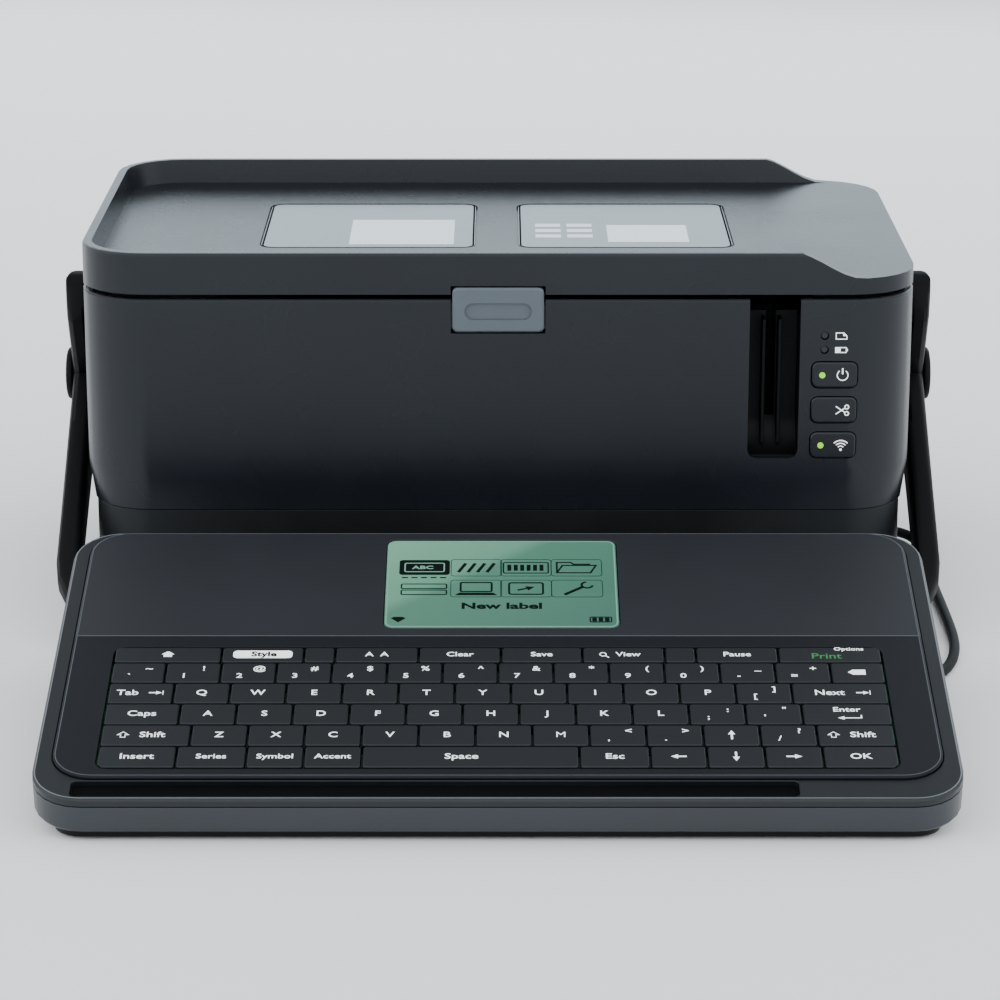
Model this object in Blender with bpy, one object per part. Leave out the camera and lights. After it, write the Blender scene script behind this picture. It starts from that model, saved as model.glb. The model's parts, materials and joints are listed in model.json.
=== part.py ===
"""A desktop label maker: printer with a carry handle, and a wired keyboard in front of it.

Lengths are millimetres and are turned into metres when a mesh is made. The origin is the
centre of the footprint on the table, +X is the printer's right as its user sees it, the user
sits at -Y, and +Z is up.
"""

import math

import bmesh
import bpy
from mathutils import Matrix, Vector

MM = 0.001
GAP = 0.3                     # clearance between pieces that touch
CORNER_STEPS = 6              # facets of a rounded corner

# Printer body
BODY_HALF_W = 157.5
BODY_DEPTH = 184.0
BODY_CORNER = 26.0
BODY_FRONT = 15.92            # Y of the flat front face
BODY_BACK = BODY_FRONT + BODY_DEPTH
WALL = 2.6
FOOT_H = 1.7
BASE_BOTTOM = 2.0
BASE_INSET = 2.8
BASE_TOP = 48.0
BODY_BOTTOM = 48.3
BODY_BOTTOM_INSET = 2.2
TAPER_TOP = 63.7
BODY_TOP = 130.5
REAR_TOP = 127.6              # the rear wall is lower, to let the lid turn

# Lid
LID_BOTTOM = 132.4
LID_TOP = 148.0
DECK_TOP = 138.5
DECK_THICK = 2.5
RIM_TOP_W = 3.8
RIM_FOOT_W = 5.2
RAMP_HIGH_X = 109.0
RAMP_LOW_X = 136.0
HINGE_Y = BODY_BACK - 3.0
HINGE_Z = 131.2
KNUCKLE_R = 3.0
HINGE_X = 110.0
PANEL_HALF = 41.5
PANEL_Y = (BODY_FRONT + 53.0, BODY_FRONT + 135.0)
PANEL_X = (-50.5, 49.5)
PANEL_DROP = 0.8
PANEL_GAP = 0.6

# Front controls
LATCH_HALF_W = 17.4
LATCH_Z = (117.8, 135.4)
SLOT_X = (94.0, 113.0)
SLOT_BOTTOM = 69.0
BUTTON_X = (117.5, 134.8)
BUTTON_H = 10.1
BUTTON_Z = (101.6, 88.0, 74.3)
LAMP_X = 122.2
LAMP_Z = (116.6, 111.2)

# Carry handle
PIVOT_Y = BODY_FRONT + 86.0
PIVOT_Z = 80.0
BAR_REACH = 123.5             # pivot to the middle of the grip bar
BAR_ANGLE = math.radians(214.5)
ARM_X = (159.2, 168.8)
PIVOT_BORE = 4.9
PIN_R = 4.5
CAP_R = 10.5
CAP_X = 172.0
BEND_R = 25.0
ARM_SIDES = 16                # corners of a section through an arm
ARM_SQUARENESS = 0.6

# Tape drive
MODULE = 1.0
GEAR_Z = (50.6, 55.4)
CHASSIS_Z = (56.6, 58.2)
ROLLER_AT = (103.5, BODY_FRONT + 48.0)
PINION_AT = (132.0, BODY_FRONT + 60.0)
TEETH = {"pinion": 12, "idler": 40, "roller": 18, "spindle": 24}
SPINDLE_BEARING = math.radians(170.0)
MESH_SLACK = 0.2
WELL_X = (12.0, 88.0)
WELL_Y = (BODY_FRONT + 30.0, BODY_FRONT + 140.0)
WELL_FLOOR = 62.0

# Keyboard: its own frame has u up the slope and w out of the face
TILT = math.radians(14.0)
FACE_FRONT = (BODY_FRONT - 205.2, 19.8)
FACE_LENGTH = 153.8
FACE_HALF_W = 146.7
FLANGE_HALF_W = 152.6
FLANGE_FRONT = -11.4
FLANGE_REAR = FACE_LENGTH + 1.5
FLANGE_R = 17.0
RIM_W = -1.0
SEAM_W = (-4.3, -4.0)
FLANGE_BOTTOM_W = -14.5
BELLY_BOTTOM_W = -24.0
BELLY_INSET = 7.0             # at the sides and the rear
BELLY_FRONT_INSET = 1.5
CASE_WALL = 3.0
GROOVE_X = (-139.0, 98.0)
GROOVE_U = (-9.5, -0.9)
KEY_HALF_FIELD = 131.8
KEY_GAP = 0.8
KEY_TOP = 0.3
KEY_BOTTOM = -3.3
KEY_TRAVEL = 1.5
WEB = 0.6                     # thickness of the web that joins a row of keys
WEB_LIFT = 0.4
WEB_EDGE = 2.5
ROWS_FRONT = 4.9
ROW_PITCH = 12.53
TOP_ROW_H = 9.7
DISPLAY_X = (-39.8, 42.4)
DISPLAY_U = (90.0, 148.2)
LEG_X = (89.0, 117.0)
LEG_U = 138.0
LEG_W = -21.0
LEG_PIN_R = 1.5
LEG_POCKET = 38.0
UNDERSIDE_Z = 1.0
KEYBOARD_FOOT_Y = BODY_FRONT - 203.0
KB_GLAND_X = 139.0
KB_GLAND_U = 130.0

# Cable between the printer and the keyboard, by hand, from the printer's gland
CABLE_R = 2.0
PRINTER_GLAND_Y = BODY_FRONT + 100.0
PRINTER_GLAND_Z = 9.5
CABLE_ROUTE = (               # X, Y from the printer's front, Z
    (158.1, 100.0, 9.5), (164.0, 99.9, 9.0), (169.3, 97.7, 7.4), (172.4, 92.2, 5.2),
    (173.4, 84.7, 3.4), (173.2, 75.7, 2.4), (172.9, 63.7, 2.1), (172.7, 43.7, 2.1),
    (172.9, 23.7, 2.1), (173.0, 5.0, 2.1), (172.8, -11.0, 2.1), (171.6, -26.0, 2.1),
    (168.8, -40.0, 2.1), (164.2, -51.6, 2.1), (158.0, -61.0, 3.2), (150.8, -67.0, 6.2),
    (144.4, -69.8, 10.6), (140.4, -71.2, 15.6), (139.0, -71.8, 20.6), (139.0, -72.1, 23.3),
)

COLOURS = {
    "body_black": ((0.035, 0.038, 0.045), 0.42, 0.0),
    "base_black": ((0.016, 0.017, 0.019), 0.55, 0.0),
    "handle_black": ((0.014, 0.014, 0.015), 0.5, 0.0),
    "latch_grey": ((0.10, 0.12, 0.14), 0.4, 0.0),
    "panel_gloss": ((0.30, 0.33, 0.36), 0.12, 0.0),
    "key_black": ((0.022, 0.024, 0.027), 0.45, 0.0),
    "frame_black": ((0.030, 0.033, 0.038), 0.4, 0.0),
    "screen_green": ((0.13, 0.30, 0.21), 0.15, 0.0),
    "lamp_smoke": ((0.02, 0.02, 0.02), 0.2, 0.0),
    "rubber_black": ((0.012, 0.012, 0.012), 0.85, 0.0),
    "steel": ((0.55, 0.56, 0.58), 0.35, 1.0),
    "board_green": ((0.02, 0.14, 0.06), 0.5, 0.0),
    "gear_white": ((0.75, 0.75, 0.72), 0.5, 0.0),
    "battery_grey": ((0.16, 0.17, 0.18), 0.5, 0.0),
}

WORLD = Matrix.Identity(4)
KEYBOARD = Matrix.Translation((0.0, *FACE_FRONT)) @ Matrix.Rotation(TILT, 4, "X")


# ---------------------------------------------------------------- tools

def clear_scene():
    for item in list(bpy.data.objects):
        bpy.data.objects.remove(item, do_unlink=True)


def material(name):
    found = bpy.data.materials.get(name)
    if found:
        return found
    colour, roughness, metallic = COLOURS[name]
    made = bpy.data.materials.new(name)
    made.use_nodes = True
    shader = made.node_tree.nodes["Principled BSDF"]
    shader.inputs["Base Color"].default_value = (*colour, 1.0)
    shader.inputs["Roughness"].default_value = roughness
    shader.inputs["Metallic"].default_value = metallic
    return made


def add_mesh(points, faces, frame=WORLD):
    """An object from points in millimetres, with its faces turned outwards."""
    mesh = bpy.data.meshes.new("shape")
    mesh.from_pydata([(frame @ Vector(p)) * MM for p in points], [], faces)
    work = bmesh.new()
    work.from_mesh(mesh)
    bmesh.ops.recalc_face_normals(work, faces=work.faces)
    work.to_mesh(mesh)
    work.free()
    shape = bpy.data.objects.new("shape", mesh)
    bpy.context.collection.objects.link(shape)
    return shape


def rounded(x0, x1, y0, y1, radius, steps=CORNER_STEPS):
    """Outline of a rectangle with round corners, anticlockwise."""
    outline = []
    corners = ((x1, y0, -90), (x1, y1, 0), (x0, y1, 90), (x0, y0, 180))
    for x, y, start in corners:
        cx = x - math.copysign(radius, x - (x0 + x1) / 2)
        cy = y - math.copysign(radius, y - (y0 + y1) / 2)
        for i in range(steps + 1):
            a = math.radians(start + 90 * i / steps)
            outline.append((cx + radius * math.cos(a), cy + radius * math.sin(a)))
    return outline


def footprint(inset):
    """The printer's outline in plan, moved inwards."""
    return rounded(-BODY_HALF_W + inset, BODY_HALF_W - inset, BODY_FRONT + inset,
                   BODY_BACK - inset, max(BODY_CORNER - inset, 3.0))


def loft(layers, frame=WORLD, along="Z"):
    """A closed solid through outlines of equal length at given heights."""
    order = {"Z": lambda a, b, h: (a, b, h), "X": lambda a, b, h: (h, a, b),
             "Y": lambda a, b, h: (a, h, b)}[along]
    points = [order(a, b, h) for h, outline in layers for a, b in outline]
    n = len(layers[0][1])
    faces = []
    for k in range(len(layers) - 1):
        for i in range(n):
            j = (i + 1) % n
            faces.append((k * n + i, k * n + j, (k + 1) * n + j, (k + 1) * n + i))
    faces.append(tuple(range(n)))
    faces.append(tuple(range((len(layers) - 1) * n, len(layers) * n)))
    return add_mesh(points, faces, frame)


def prism(outline, low, high, frame=WORLD, along="Z"):
    return loft([(low, outline), (high, outline)], frame, along)


def box(x0, x1, y0, y1, z0, z1, frame=WORLD):
    return prism([(x0, y0), (x1, y0), (x1, y1), (x0, y1)], z0, z1, frame)


def circle(cx, cy, radius, sides):
    turn = 2 * math.pi / sides
    return [(cx + radius * math.cos(turn * (i + 0.5)), cy + radius * math.sin(turn * (i + 0.5)))
            for i in range(sides)]


def rod(centre, radius, low, high, sides=16, frame=WORLD, along="Z"):
    return prism(circle(*centre, radius, sides), low, high, frame, along)


def combine(target, others, operation):
    """Boolean the others into the target, and take them away."""
    for other in others:
        cut = target.modifiers.new("cut", "BOOLEAN")
        cut.operation = operation
        cut.solver = "EXACT"
        cut.object = other
        graph = bpy.context.evaluated_depsgraph_get()
        made = bpy.data.meshes.new_from_object(target.evaluated_get(graph))
        target.modifiers.remove(cut)
        target.data = made
        bpy.data.objects.remove(other, do_unlink=True)
    return target


def minus(target, *others):
    return combine(target, others, "DIFFERENCE")


def plus(target, *others):
    return combine(target, others, "UNION")


def pivot(name, x, y, z):
    """An empty on a joint's axis, which carries the pieces that move on it."""
    empty = bpy.data.objects.new(name, None)
    empty.location = (x * MM, y * MM, z * MM)
    bpy.context.collection.objects.link(empty)
    return empty


def piece(name, shape, finish, carrier=None):
    shape.name = name
    shape.data.name = name
    shape.data.materials.clear()
    shape.data.materials.append(material(finish))
    shape.data.shade_smooth()
    shape.data.set_sharp_from_angle(angle=math.radians(32))
    if carrier:
        shape.data.transform(Matrix.Translation(-carrier.location))
        shape.parent = carrier
    return shape


def slope(u, w):
    """Y and Z of a point in the keyboard's own frame."""
    return (FACE_FRONT[0] + u * math.cos(TILT) - w * math.sin(TILT),
            FACE_FRONT[1] + u * math.sin(TILT) + w * math.cos(TILT))


# ---------------------------------------------------------------- printer housing

def base_shell():
    outer = loft([(BASE_BOTTOM, footprint(BASE_INSET + 2.5)), (BASE_BOTTOM + 4, footprint(BASE_INSET)),
                  (BASE_TOP, footprint(BASE_INSET))])
    hollow = prism(footprint(BASE_INSET + WALL), BASE_BOTTOM + WALL, BASE_TOP + 1)
    battery_door = box(-146.0, -84.0, BODY_FRONT + 40, BODY_FRONT + 140, 0, 10)
    ports = box(-70.0, -8.0, BODY_BACK - BASE_INSET - 6, BODY_BACK, 14.0, 34.0)
    shell = minus(outer, hollow, battery_door, ports)
    return piece("base_shell", shell, "base_black")


def base_fittings():
    for name, y in (("front_base_foot", BODY_FRONT + 22), ("rear_base_foot", BODY_BACK - 22)):
        piece(name, prism(rounded(-118, 118, y - 6, y + 6, 5.8, 3), 0, FOOT_H), "rubber_black")
    cover = prism(rounded(-146 + GAP, -84 - GAP, BODY_FRONT + 40 + GAP, BODY_FRONT + 140 - GAP, 1.0, 1),
                  BASE_BOTTOM, BASE_BOTTOM + 2.2)
    grip = prism(rounded(-124, -106, BODY_FRONT + 46, BODY_FRONT + 50, 1.8, 2), 0, BASE_BOTTOM + 1.0)
    piece("battery_cover", minus(cover, grip), "base_black")
    pack = loft([(5.0, rounded(-143, -87, BODY_FRONT + 44, BODY_FRONT + 136, 4, 2)),
                 (38.0, rounded(-143, -87, BODY_FRONT + 44, BODY_FRONT + 136, 4, 2))])
    piece("battery_pack", pack, "battery_grey")


def body_shell():
    outer = loft([(BODY_BOTTOM, footprint(BODY_BOTTOM_INSET)), (TAPER_TOP, footprint(0)),
                  (BODY_TOP - 0.8, footprint(0)), (BODY_TOP, footprint(0.8))])
    hollow = loft([(BODY_BOTTOM - 1, footprint(BODY_BOTTOM_INSET + WALL)),
                   (BODY_BOTTOM, footprint(BODY_BOTTOM_INSET + WALL)),
                   (TAPER_TOP, footprint(WALL)), (BODY_TOP + 1, footprint(WALL))])
    front = (BODY_FRONT - 5, BODY_FRONT + 6)
    slot = prism(rounded(SLOT_X[0], SLOT_X[1], SLOT_BOTTOM, 160, 3.0, 2), *front, along="Y")
    latch = box(-LATCH_HALF_W - GAP, LATCH_HALF_W + GAP, *front, LATCH_Z[0] - GAP, 160)
    rear = box(-200, 200, BODY_BACK - 8, BODY_BACK + 5, REAR_TOP, 160)
    holes = [rod((PIVOT_Y, PIVOT_Z), PIVOT_BORE, -200, 200, 16, along="X")]
    holes += [prism(rounded(BUTTON_X[0] - GAP, BUTTON_X[1] + GAP, z - BUTTON_H / 2 - GAP,
                            z + BUTTON_H / 2 + GAP, 2.8, 3), *front, along="Y") for z in BUTTON_Z]
    holes += [rod((LAMP_X, z), 1.6, *front, 12, along="Y") for z in LAMP_Z]
    return piece("body_shell", minus(outer, hollow, slot, latch, rear, *holes), "body_black")


def deck_frame():
    """The inner deck below the lid, with the well that a tape cassette drops into."""
    deck = prism(footprint(WALL + GAP), 124.0, 126.4)
    well = box(WELL_X[0] - 2, WELL_X[1] + 2, WELL_Y[0] - 2, WELL_Y[1] + 2, WELL_FLOOR - 2, 125)
    inside = box(*WELL_X, *WELL_Y, WELL_FLOOR, 130)
    tape_path = box(WELL_X[1] - 1, 120, BODY_FRONT + 2, BODY_FRONT + 62, 50, 130)
    path_floor = box(WELL_X[1] - 3, WELL_X[1] + 8, BODY_FRONT + 26, BODY_FRONT + 62, WELL_FLOOR + 2, 130)
    latch_room = box(-24, 24, BODY_FRONT, BODY_FRONT + 17, 110, 130)
    spindle = rod(SPINDLE_AT, 5.2, 50, 70, 16)
    rear = box(-200, 200, BODY_BACK - 9, BODY_BACK, 120, 130)
    switches = box(116, 142, BODY_FRONT, BODY_FRONT + 14, 110, 130)
    return piece("deck_frame", minus(plus(deck, well), inside, tape_path, path_floor, latch_room,
                                     spindle, rear, switches), "base_black")


def tape_exit_guide():
    """The duct behind the exit slot: side walls, a scooped floor and a slit for the tape."""
    x0, x1 = SLOT_X
    y0, y1 = BODY_FRONT + WALL + GAP, BODY_FRONT + 17.0
    duct = box(x0 - 2.4, x1 + 2.4, y0, y1, SLOT_BOTTOM - 3, 123.0)
    run = y1 - 1.8
    rise = [(y0 - 1, SLOT_BOTTOM + 0.4), (y0 + 4, SLOT_BOTTOM + 1.5), (y0 + 8, SLOT_BOTTOM + 5),
            (run, SLOT_BOTTOM + 12), (run, 124.0), (y0 - 1, 124.0)]
    room = prism(rise, x0, x1, along="X")
    slit = box(101.2, 104.8, y0, y1 + 1, SLOT_BOTTOM + 13, 124)
    lips = [box(x, x + 1.2, y0 + 5, y1 - 1, SLOT_BOTTOM + 4, 121) for x in (99.4, 105.4)]
    return piece("tape_exit_guide", plus(minus(duct, room, slit), *lips), "base_black")


def rear_ports():
    y = BODY_BACK - BASE_INSET
    panel = box(-70 + GAP, -8 - GAP, y - 2.2, y - 0.6, 14 + GAP, 34 - GAP)
    usb = box(-56.4, -43.6, y - 10, y + 5, 17.6, 29.4)
    jack = rod((-24.0, 23.5), 4.8, y - 10, y + 5, 16, along="Y")
    piece("rear_port_panel", minus(panel, usb, jack), "body_black")
    shell = minus(box(-56, -44, y - 16, y - 1, 18, 29), box(-55, -45, y - 13, y + 1, 19, 28))
    tongue = box(-53, -47, y - 14, y - 3, 22.6, 24.4)
    barrel = minus(rod((-24.0, 23.5), 4.4, y - 14, y - 1, 16, along="Y"),
                   rod((-24.0, 23.5), 3.2, y - 11, y + 1, 16, along="Y"))
    contact = rod((-24.0, 23.5), 1.0, y - 12, y - 3, 8, along="Y")
    piece("usb_socket", plus(shell, tongue), "steel")
    piece("power_socket", plus(barrel, contact), "base_black")


def main_board():
    y0, y1 = BODY_FRONT + 96, BODY_BACK - 12
    board = box(-78, 128, y0, y1, 14.4, 16.0)
    chips = [box(x, x + w, y, y + d, 15.5, 16 + h) for x, y, w, d, h in (
        (40, y0 + 20, 20, 20, 2.0), (72, y0 + 14, 12, 18, 2.4), (-10, y0 + 30, 14, 10, 1.8),
        (96, y0 + 10, 18, 10, 9.0), (6, y0 + 8, 24, 7, 6.0))]
    cans = [rod((x, y0 + 42), 5.0, 15.5, 28.0, 12) for x in (70, 84)]
    return piece("main_board", plus(board, *chips, *cans), "board_green")


def button_board():
    plate = box(BUTTON_X[0] - 1, BUTTON_X[1] + 1, BODY_FRONT + 9.4, BODY_FRONT + 11.0, 67, 121)
    domes = [rod((sum(BUTTON_X) / 2, z), 2.6, BODY_FRONT + 8.3, BODY_FRONT + 9.8, 10, along="Y")
             for z in BUTTON_Z]
    return piece("button_board", plus(plate, *domes), "board_green")


# ---------------------------------------------------------------- lid and release button

def ramp(x):
    """Height of the rim's top, which sinks to the deck at the right in a smooth curve."""
    t = min(max((x - RAMP_HIGH_X) / (RAMP_LOW_X - RAMP_HIGH_X), 0.0), 1.0)
    return LID_TOP + 0.6 - (LID_TOP + 0.6 - DECK_TOP) * (3 * t * t - 2 * t ** 3)


def top_lid(carrier):
    solid = loft([(LID_BOTTOM, footprint(0)), (LID_TOP - 1.2, footprint(0)),
                  (LID_TOP - 0.3, footprint(0.4)), (LID_TOP, footprint(1.2))])
    tray = loft([(DECK_TOP, footprint(RIM_FOOT_W)), (LID_TOP, footprint(RIM_TOP_W)),
                 (LID_TOP + 1, footprint(RIM_TOP_W))])
    steps = 9
    curve = [(RAMP_HIGH_X - 6 + (RAMP_LOW_X + 6 - RAMP_HIGH_X + 6) * i / steps) for i in range(steps + 1)]
    above = [(x, ramp(x)) for x in curve] + [(200.0, DECK_TOP), (200.0, 160.0), (curve[0], 160.0)]
    low_side = prism(above, BODY_FRONT - 10, BODY_BACK + 10, along="Y")
    under = prism(footprint(WALL), LID_BOTTOM - 1, DECK_TOP - DECK_THICK)
    latch = box(-LATCH_HALF_W - GAP, LATCH_HALF_W + GAP, BODY_FRONT - 5, BODY_FRONT + 7, 120,
                LATCH_Z[1] + GAP)
    recesses = [prism(rounded(x - PANEL_HALF - PANEL_GAP, x + PANEL_HALF + PANEL_GAP,
                              PANEL_Y[0] - PANEL_GAP, PANEL_Y[1] + PANEL_GAP, 6.3, 3),
                      DECK_TOP - PANEL_DROP - GAP, DECK_TOP + 1)
                for x in PANEL_X]
    notches = [box(s * HINGE_X - 13, s * HINGE_X + 13, BODY_BACK - 9, BODY_BACK + 1, 130, 135.8)
               for s in (-1, 1)]
    lid = minus(solid, tray, low_side, under, latch, *recesses, *notches)
    for side in (-1, 1):
        x = side * HINGE_X
        knuckle = rod((HINGE_Y, HINGE_Z), KNUCKLE_R, x - 7, x + 7, 16, along="X")
        web = box(x - 7, x + 7, HINGE_Y - 3.0, HINGE_Y - 0.5, HINGE_Z, DECK_TOP - 1.5)
        lid = plus(lid, knuckle, web)
        lid = minus(lid, rod((HINGE_Y, HINGE_Z), 1.6, x - 8, x + 8, 12, along="X"))
    piece("top_lid", lid, "body_black", carrier)


def lid_pieces(carrier):
    for name, x in zip(("left_lid_panel", "right_lid_panel"), PANEL_X):
        outline = rounded(x - PANEL_HALF, x + PANEL_HALF, *PANEL_Y, 6.0, 3)
        piece(name, prism(outline, DECK_TOP - PANEL_DROP, DECK_TOP), "panel_gloss", carrier)
    y = BODY_FRONT + 11.5
    hook = [(y, 119.0), (y, 120.6), (y + 1.4, 122.0), (y + 1.4, 134.0), (y - 2, 134.0),
            (y - 2, DECK_TOP - DECK_THICK - GAP), (y + 6, DECK_TOP - DECK_THICK - GAP),
            (y + 6, 134.0), (y + 3.4, 134.0), (y + 3.4, 119.0)]
    piece("lid_latch_hook", prism(hook, -8, 8, along="X"), "base_black", carrier)


def hinge_hardware():
    """A rail along the rear of the deck with two pairs of ears, and the rod through them."""
    end = HINGE_X + 12
    rail = plus(box(-end, end, BODY_BACK - 16, BODY_BACK - 9 - GAP, 126.7, 128.2),
                box(-end, end, BODY_BACK - 11, BODY_BACK - 8.6, 127.0, 129.8))
    for side in (-1, 1):
        x = side * HINGE_X
        for e in (x - 12, x + 7.4):
            ear = plus(rod((HINGE_Y, HINGE_Z), KNUCKLE_R, e, e + 4.6, 16, along="X"),
                       box(e, e + 4.6, BODY_BACK - 10, HINGE_Y, 128.25, 131.0))
            rail = plus(rail, ear)
    rail = minus(rail, rod((HINGE_Y, HINGE_Z), 1.6, -end - 2, end + 2, 12, along="X"))
    piece("hinge_rail", rail, "steel")
    piece("hinge_rod", rod((HINGE_Y, HINGE_Z), 1.25, -end - 0.2, end + 0.2, 12, along="X"), "steel")


def release_button():
    carrier = pivot("release_axis", 0, BODY_FRONT, sum(LATCH_Z) / 2)
    y = BODY_FRONT
    outline = rounded(-LATCH_HALF_W + GAP, LATCH_HALF_W - GAP, LATCH_Z[0] + GAP, LATCH_Z[1] - GAP, 2.0, 3)
    small = rounded(-LATCH_HALF_W + 1.0, LATCH_HALF_W - 1.0, LATCH_Z[0] + 1.0, LATCH_Z[1] - 1.0, 1.4, 3)
    cap = loft([(y - 0.9, small), (y - 0.2, outline), (y + 5.6, outline)], along="Y")
    flange = box(-20.5, 20.5, y + 4.9, y + 7.0, LATCH_Z[0] + GAP, 128.0)
    pill = prism(rounded(-12.6, 12.6, 122.9, 129.3, 3.15, 4), y - 3, y + 0.4, along="Y")
    piece("release_button", minus(plus(cap, flange), pill), "latch_grey", carrier)


# ---------------------------------------------------------------- front buttons and lamps

def front_buttons():
    y = BODY_FRONT
    names = ("power_button", "cut_button", "wireless_button")
    for name, z in zip(names, BUTTON_Z):
        carrier = pivot(name + "_axis", sum(BUTTON_X) / 2, y, z)
        h = BUTTON_H / 2
        face = rounded(BUTTON_X[0] + 0.5, BUTTON_X[1] - 0.5, z - h + 0.5, z + h - 0.5, 2.0, 3)
        edge = rounded(BUTTON_X[0], BUTTON_X[1], z - h, z + h, 2.5, 3)
        cap = loft([(y - 0.5, face), (y, edge), (y + 5.2, edge)], along="Y")
        flange = box(BUTTON_X[0] - 1, BUTTON_X[1] + 1, y + 4.4, y + 6.2, z - h - 1, z + h + 1)
        stem = rod((sum(BUTTON_X) / 2, z), 1.6, y + 5.8, y + 7.0, 10, along="Y")
        cap = plus(cap, flange, stem)
        piece(name, cap, "key_black", carrier)
    lamps = [rod((LAMP_X, z), 1.3, y + 1.0, y + 8.0, 12, along="Y") for z in LAMP_Z]
    bar = box(LAMP_X - 1.8, LAMP_X + 1.8, y + 7.0, y + 9.0, LAMP_Z[1] - 2, LAMP_Z[0] + 2)
    piece("indicator_light_pipe", plus(bar, *lamps), "lamp_smoke")


# ---------------------------------------------------------------- carry handle

def bail_sections():
    """Stations along the handle's left half: middle, thickness axis, half sizes."""
    ahead = Vector((0, math.cos(BAR_ANGLE), math.sin(BAR_ANGLE)))
    centre = Vector((0, PIVOT_Y, PIVOT_Z))
    arm_x = -sum(ARM_X) / 2
    thick = (ARM_X[1] - ARM_X[0]) / 2
    head = Vector((0, BODY_FRONT + 70, 111)) - centre
    outward = Vector((-1, 0, 0))
    side = Vector((arm_x, 0, 0))
    stations = []
    head_r = 14.5
    for a in (80, 60, 38, 15):
        reach = head.normalized() * head_r * math.sin(math.radians(a))
        stations.append((centre + side + head + reach, outward, thick, head_r * math.cos(math.radians(a))))
    stations.append((centre + side + head * 0.55, outward, thick, 13.2))
    stations.append((centre + side + head * 0.12, outward, thick, 12.6))
    stations.append((centre + side + ahead * 9, outward, thick, 12.6))
    for reach, half in ((34, 11.2), (66, 9.4), (BAR_REACH - BEND_R, 7.6)):
        stations.append((centre + side + ahead * reach, outward, thick, half))
    for a in (18, 36, 54, 72, 90):
        t = math.radians(a)
        at = centre + ahead * (BAR_REACH - BEND_R + BEND_R * math.sin(t))
        at += Vector((arm_x + BEND_R - BEND_R * math.cos(t), 0, 0))
        out = outward * math.cos(t) + ahead * math.sin(t)
        stations.append((at, out, thick + (6.2 - thick) * a / 90, 7.6 + (6.2 - 7.6) * a / 90))
    return stations


def bail_frame(index, stations):
    """The direction across the section, square to the path and to its thickness."""
    before = stations[max(index - 1, 0)][0]
    after = stations[min(index + 1, len(stations) - 1)][0]
    along = (after - before).normalized()
    return stations[index][1].cross(along).normalized()


def handle():
    carrier = pivot("handle_axis", 0, PIVOT_Y, PIVOT_Z)
    left = bail_sections()
    mirrored = [(Vector((-at.x, at.y, at.z)), Vector((-out.x, out.y, out.z)), a, b)
                for at, out, a, b in reversed(left)]
    corner = [tuple(math.copysign(abs(v) ** ARM_SQUARENESS, v) for v in (math.cos(t), math.sin(t)))
              for t in (math.radians(360 * (i + 0.5) / ARM_SIDES) for i in range(ARM_SIDES))]
    points = []
    for half, sign in ((left, 1), (mirrored, -1)):
        for i, (at, out, a, b) in enumerate(half):
            across = bail_frame(i, half) * sign
            points += [at + out * (a * p) + across * (b * q) * sign for p, q in corner]
    n = len(corner)
    count = 2 * len(left)
    faces = [(k * n + i, k * n + (i + 1) % n, (k + 1) * n + (i + 1) % n, (k + 1) * n + i)
             for k in range(count - 1) for i in range(n)]
    faces += [tuple(range(n)), tuple(range((count - 1) * n, count * n))]
    bail = add_mesh(points, faces)
    bail = minus(bail, rod((PIVOT_Y, PIVOT_Z), PIVOT_BORE, -200, -150, 16, along="X"),
                 rod((PIVOT_Y, PIVOT_Z), PIVOT_BORE, 150, 200, 16, along="X"))
    piece("handle_bail", bail, "handle_black", carrier)
    for s, side in ((-1, "left"), (1, "right")):
        outer = circle(PIVOT_Y, PIVOT_Z, CAP_R - 1.0, 20)
        rim = circle(PIVOT_Y, PIVOT_Z, CAP_R, 20)
        cap = loft([(s * (ARM_X[1] + GAP), rim), (s * (CAP_X - 0.9), rim), (s * CAP_X, outer)],
                   along="X")
        piece(side + "_pivot_cap", cap, "handle_black", carrier)
        flange = rod((PIVOT_Y, PIVOT_Z), 8.0, min(s * 151, s * 154.5), max(s * 151, s * 154.5), 16,
                     along="X")
        shaft = rod((PIVOT_Y, PIVOT_Z), PIN_R, min(s * 152, s * ARM_X[1]), max(s * 152, s * ARM_X[1]),
                    16, along="X")
        piece(side + "_pivot_pin", plus(flange, shaft), "steel")
    ahead = Vector((0, math.cos(BAR_ANGLE), math.sin(BAR_ANGLE)))
    bar = Vector((0, PIVOT_Y, PIVOT_Z)) + ahead * BAR_REACH
    sleeve = minus(rod((bar.y, bar.z), 9.0, -62, 62, 20, along="X"),
                   rod((bar.y, bar.z), 7.4, -64, 64, 20, along="X"))
    piece("handle_grip", sleeve, "rubber_black", carrier)


# ---------------------------------------------------------------- tape drive

def meeting_point(a, reach_a, b, reach_b):
    """The point at two given distances from a and b, on the side away from the front."""
    ax, ay = a
    dx, dy = b[0] - ax, b[1] - ay
    span = math.hypot(dx, dy)
    along = (reach_a ** 2 - reach_b ** 2 + span ** 2) / (2 * span)
    off = math.sqrt(reach_a ** 2 - along ** 2)
    points = [(ax + (dx * along + s * dy * off) / span, ay + (dy * along - s * dx * off) / span)
              for s in (-1, 1)]
    return max(points, key=lambda p: p[1])


def mesh_distance(a, b):
    return MODULE * (TEETH[a] + TEETH[b]) / 2 + MESH_SLACK


IDLER_AT = meeting_point(PINION_AT, mesh_distance("pinion", "idler"),
                         ROLLER_AT, mesh_distance("roller", "idler"))
SPINDLE_AT = (IDLER_AT[0] + mesh_distance("spindle", "idler") * math.cos(SPINDLE_BEARING),
              IDLER_AT[1] + mesh_distance("spindle", "idler") * math.sin(SPINDLE_BEARING))


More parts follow.
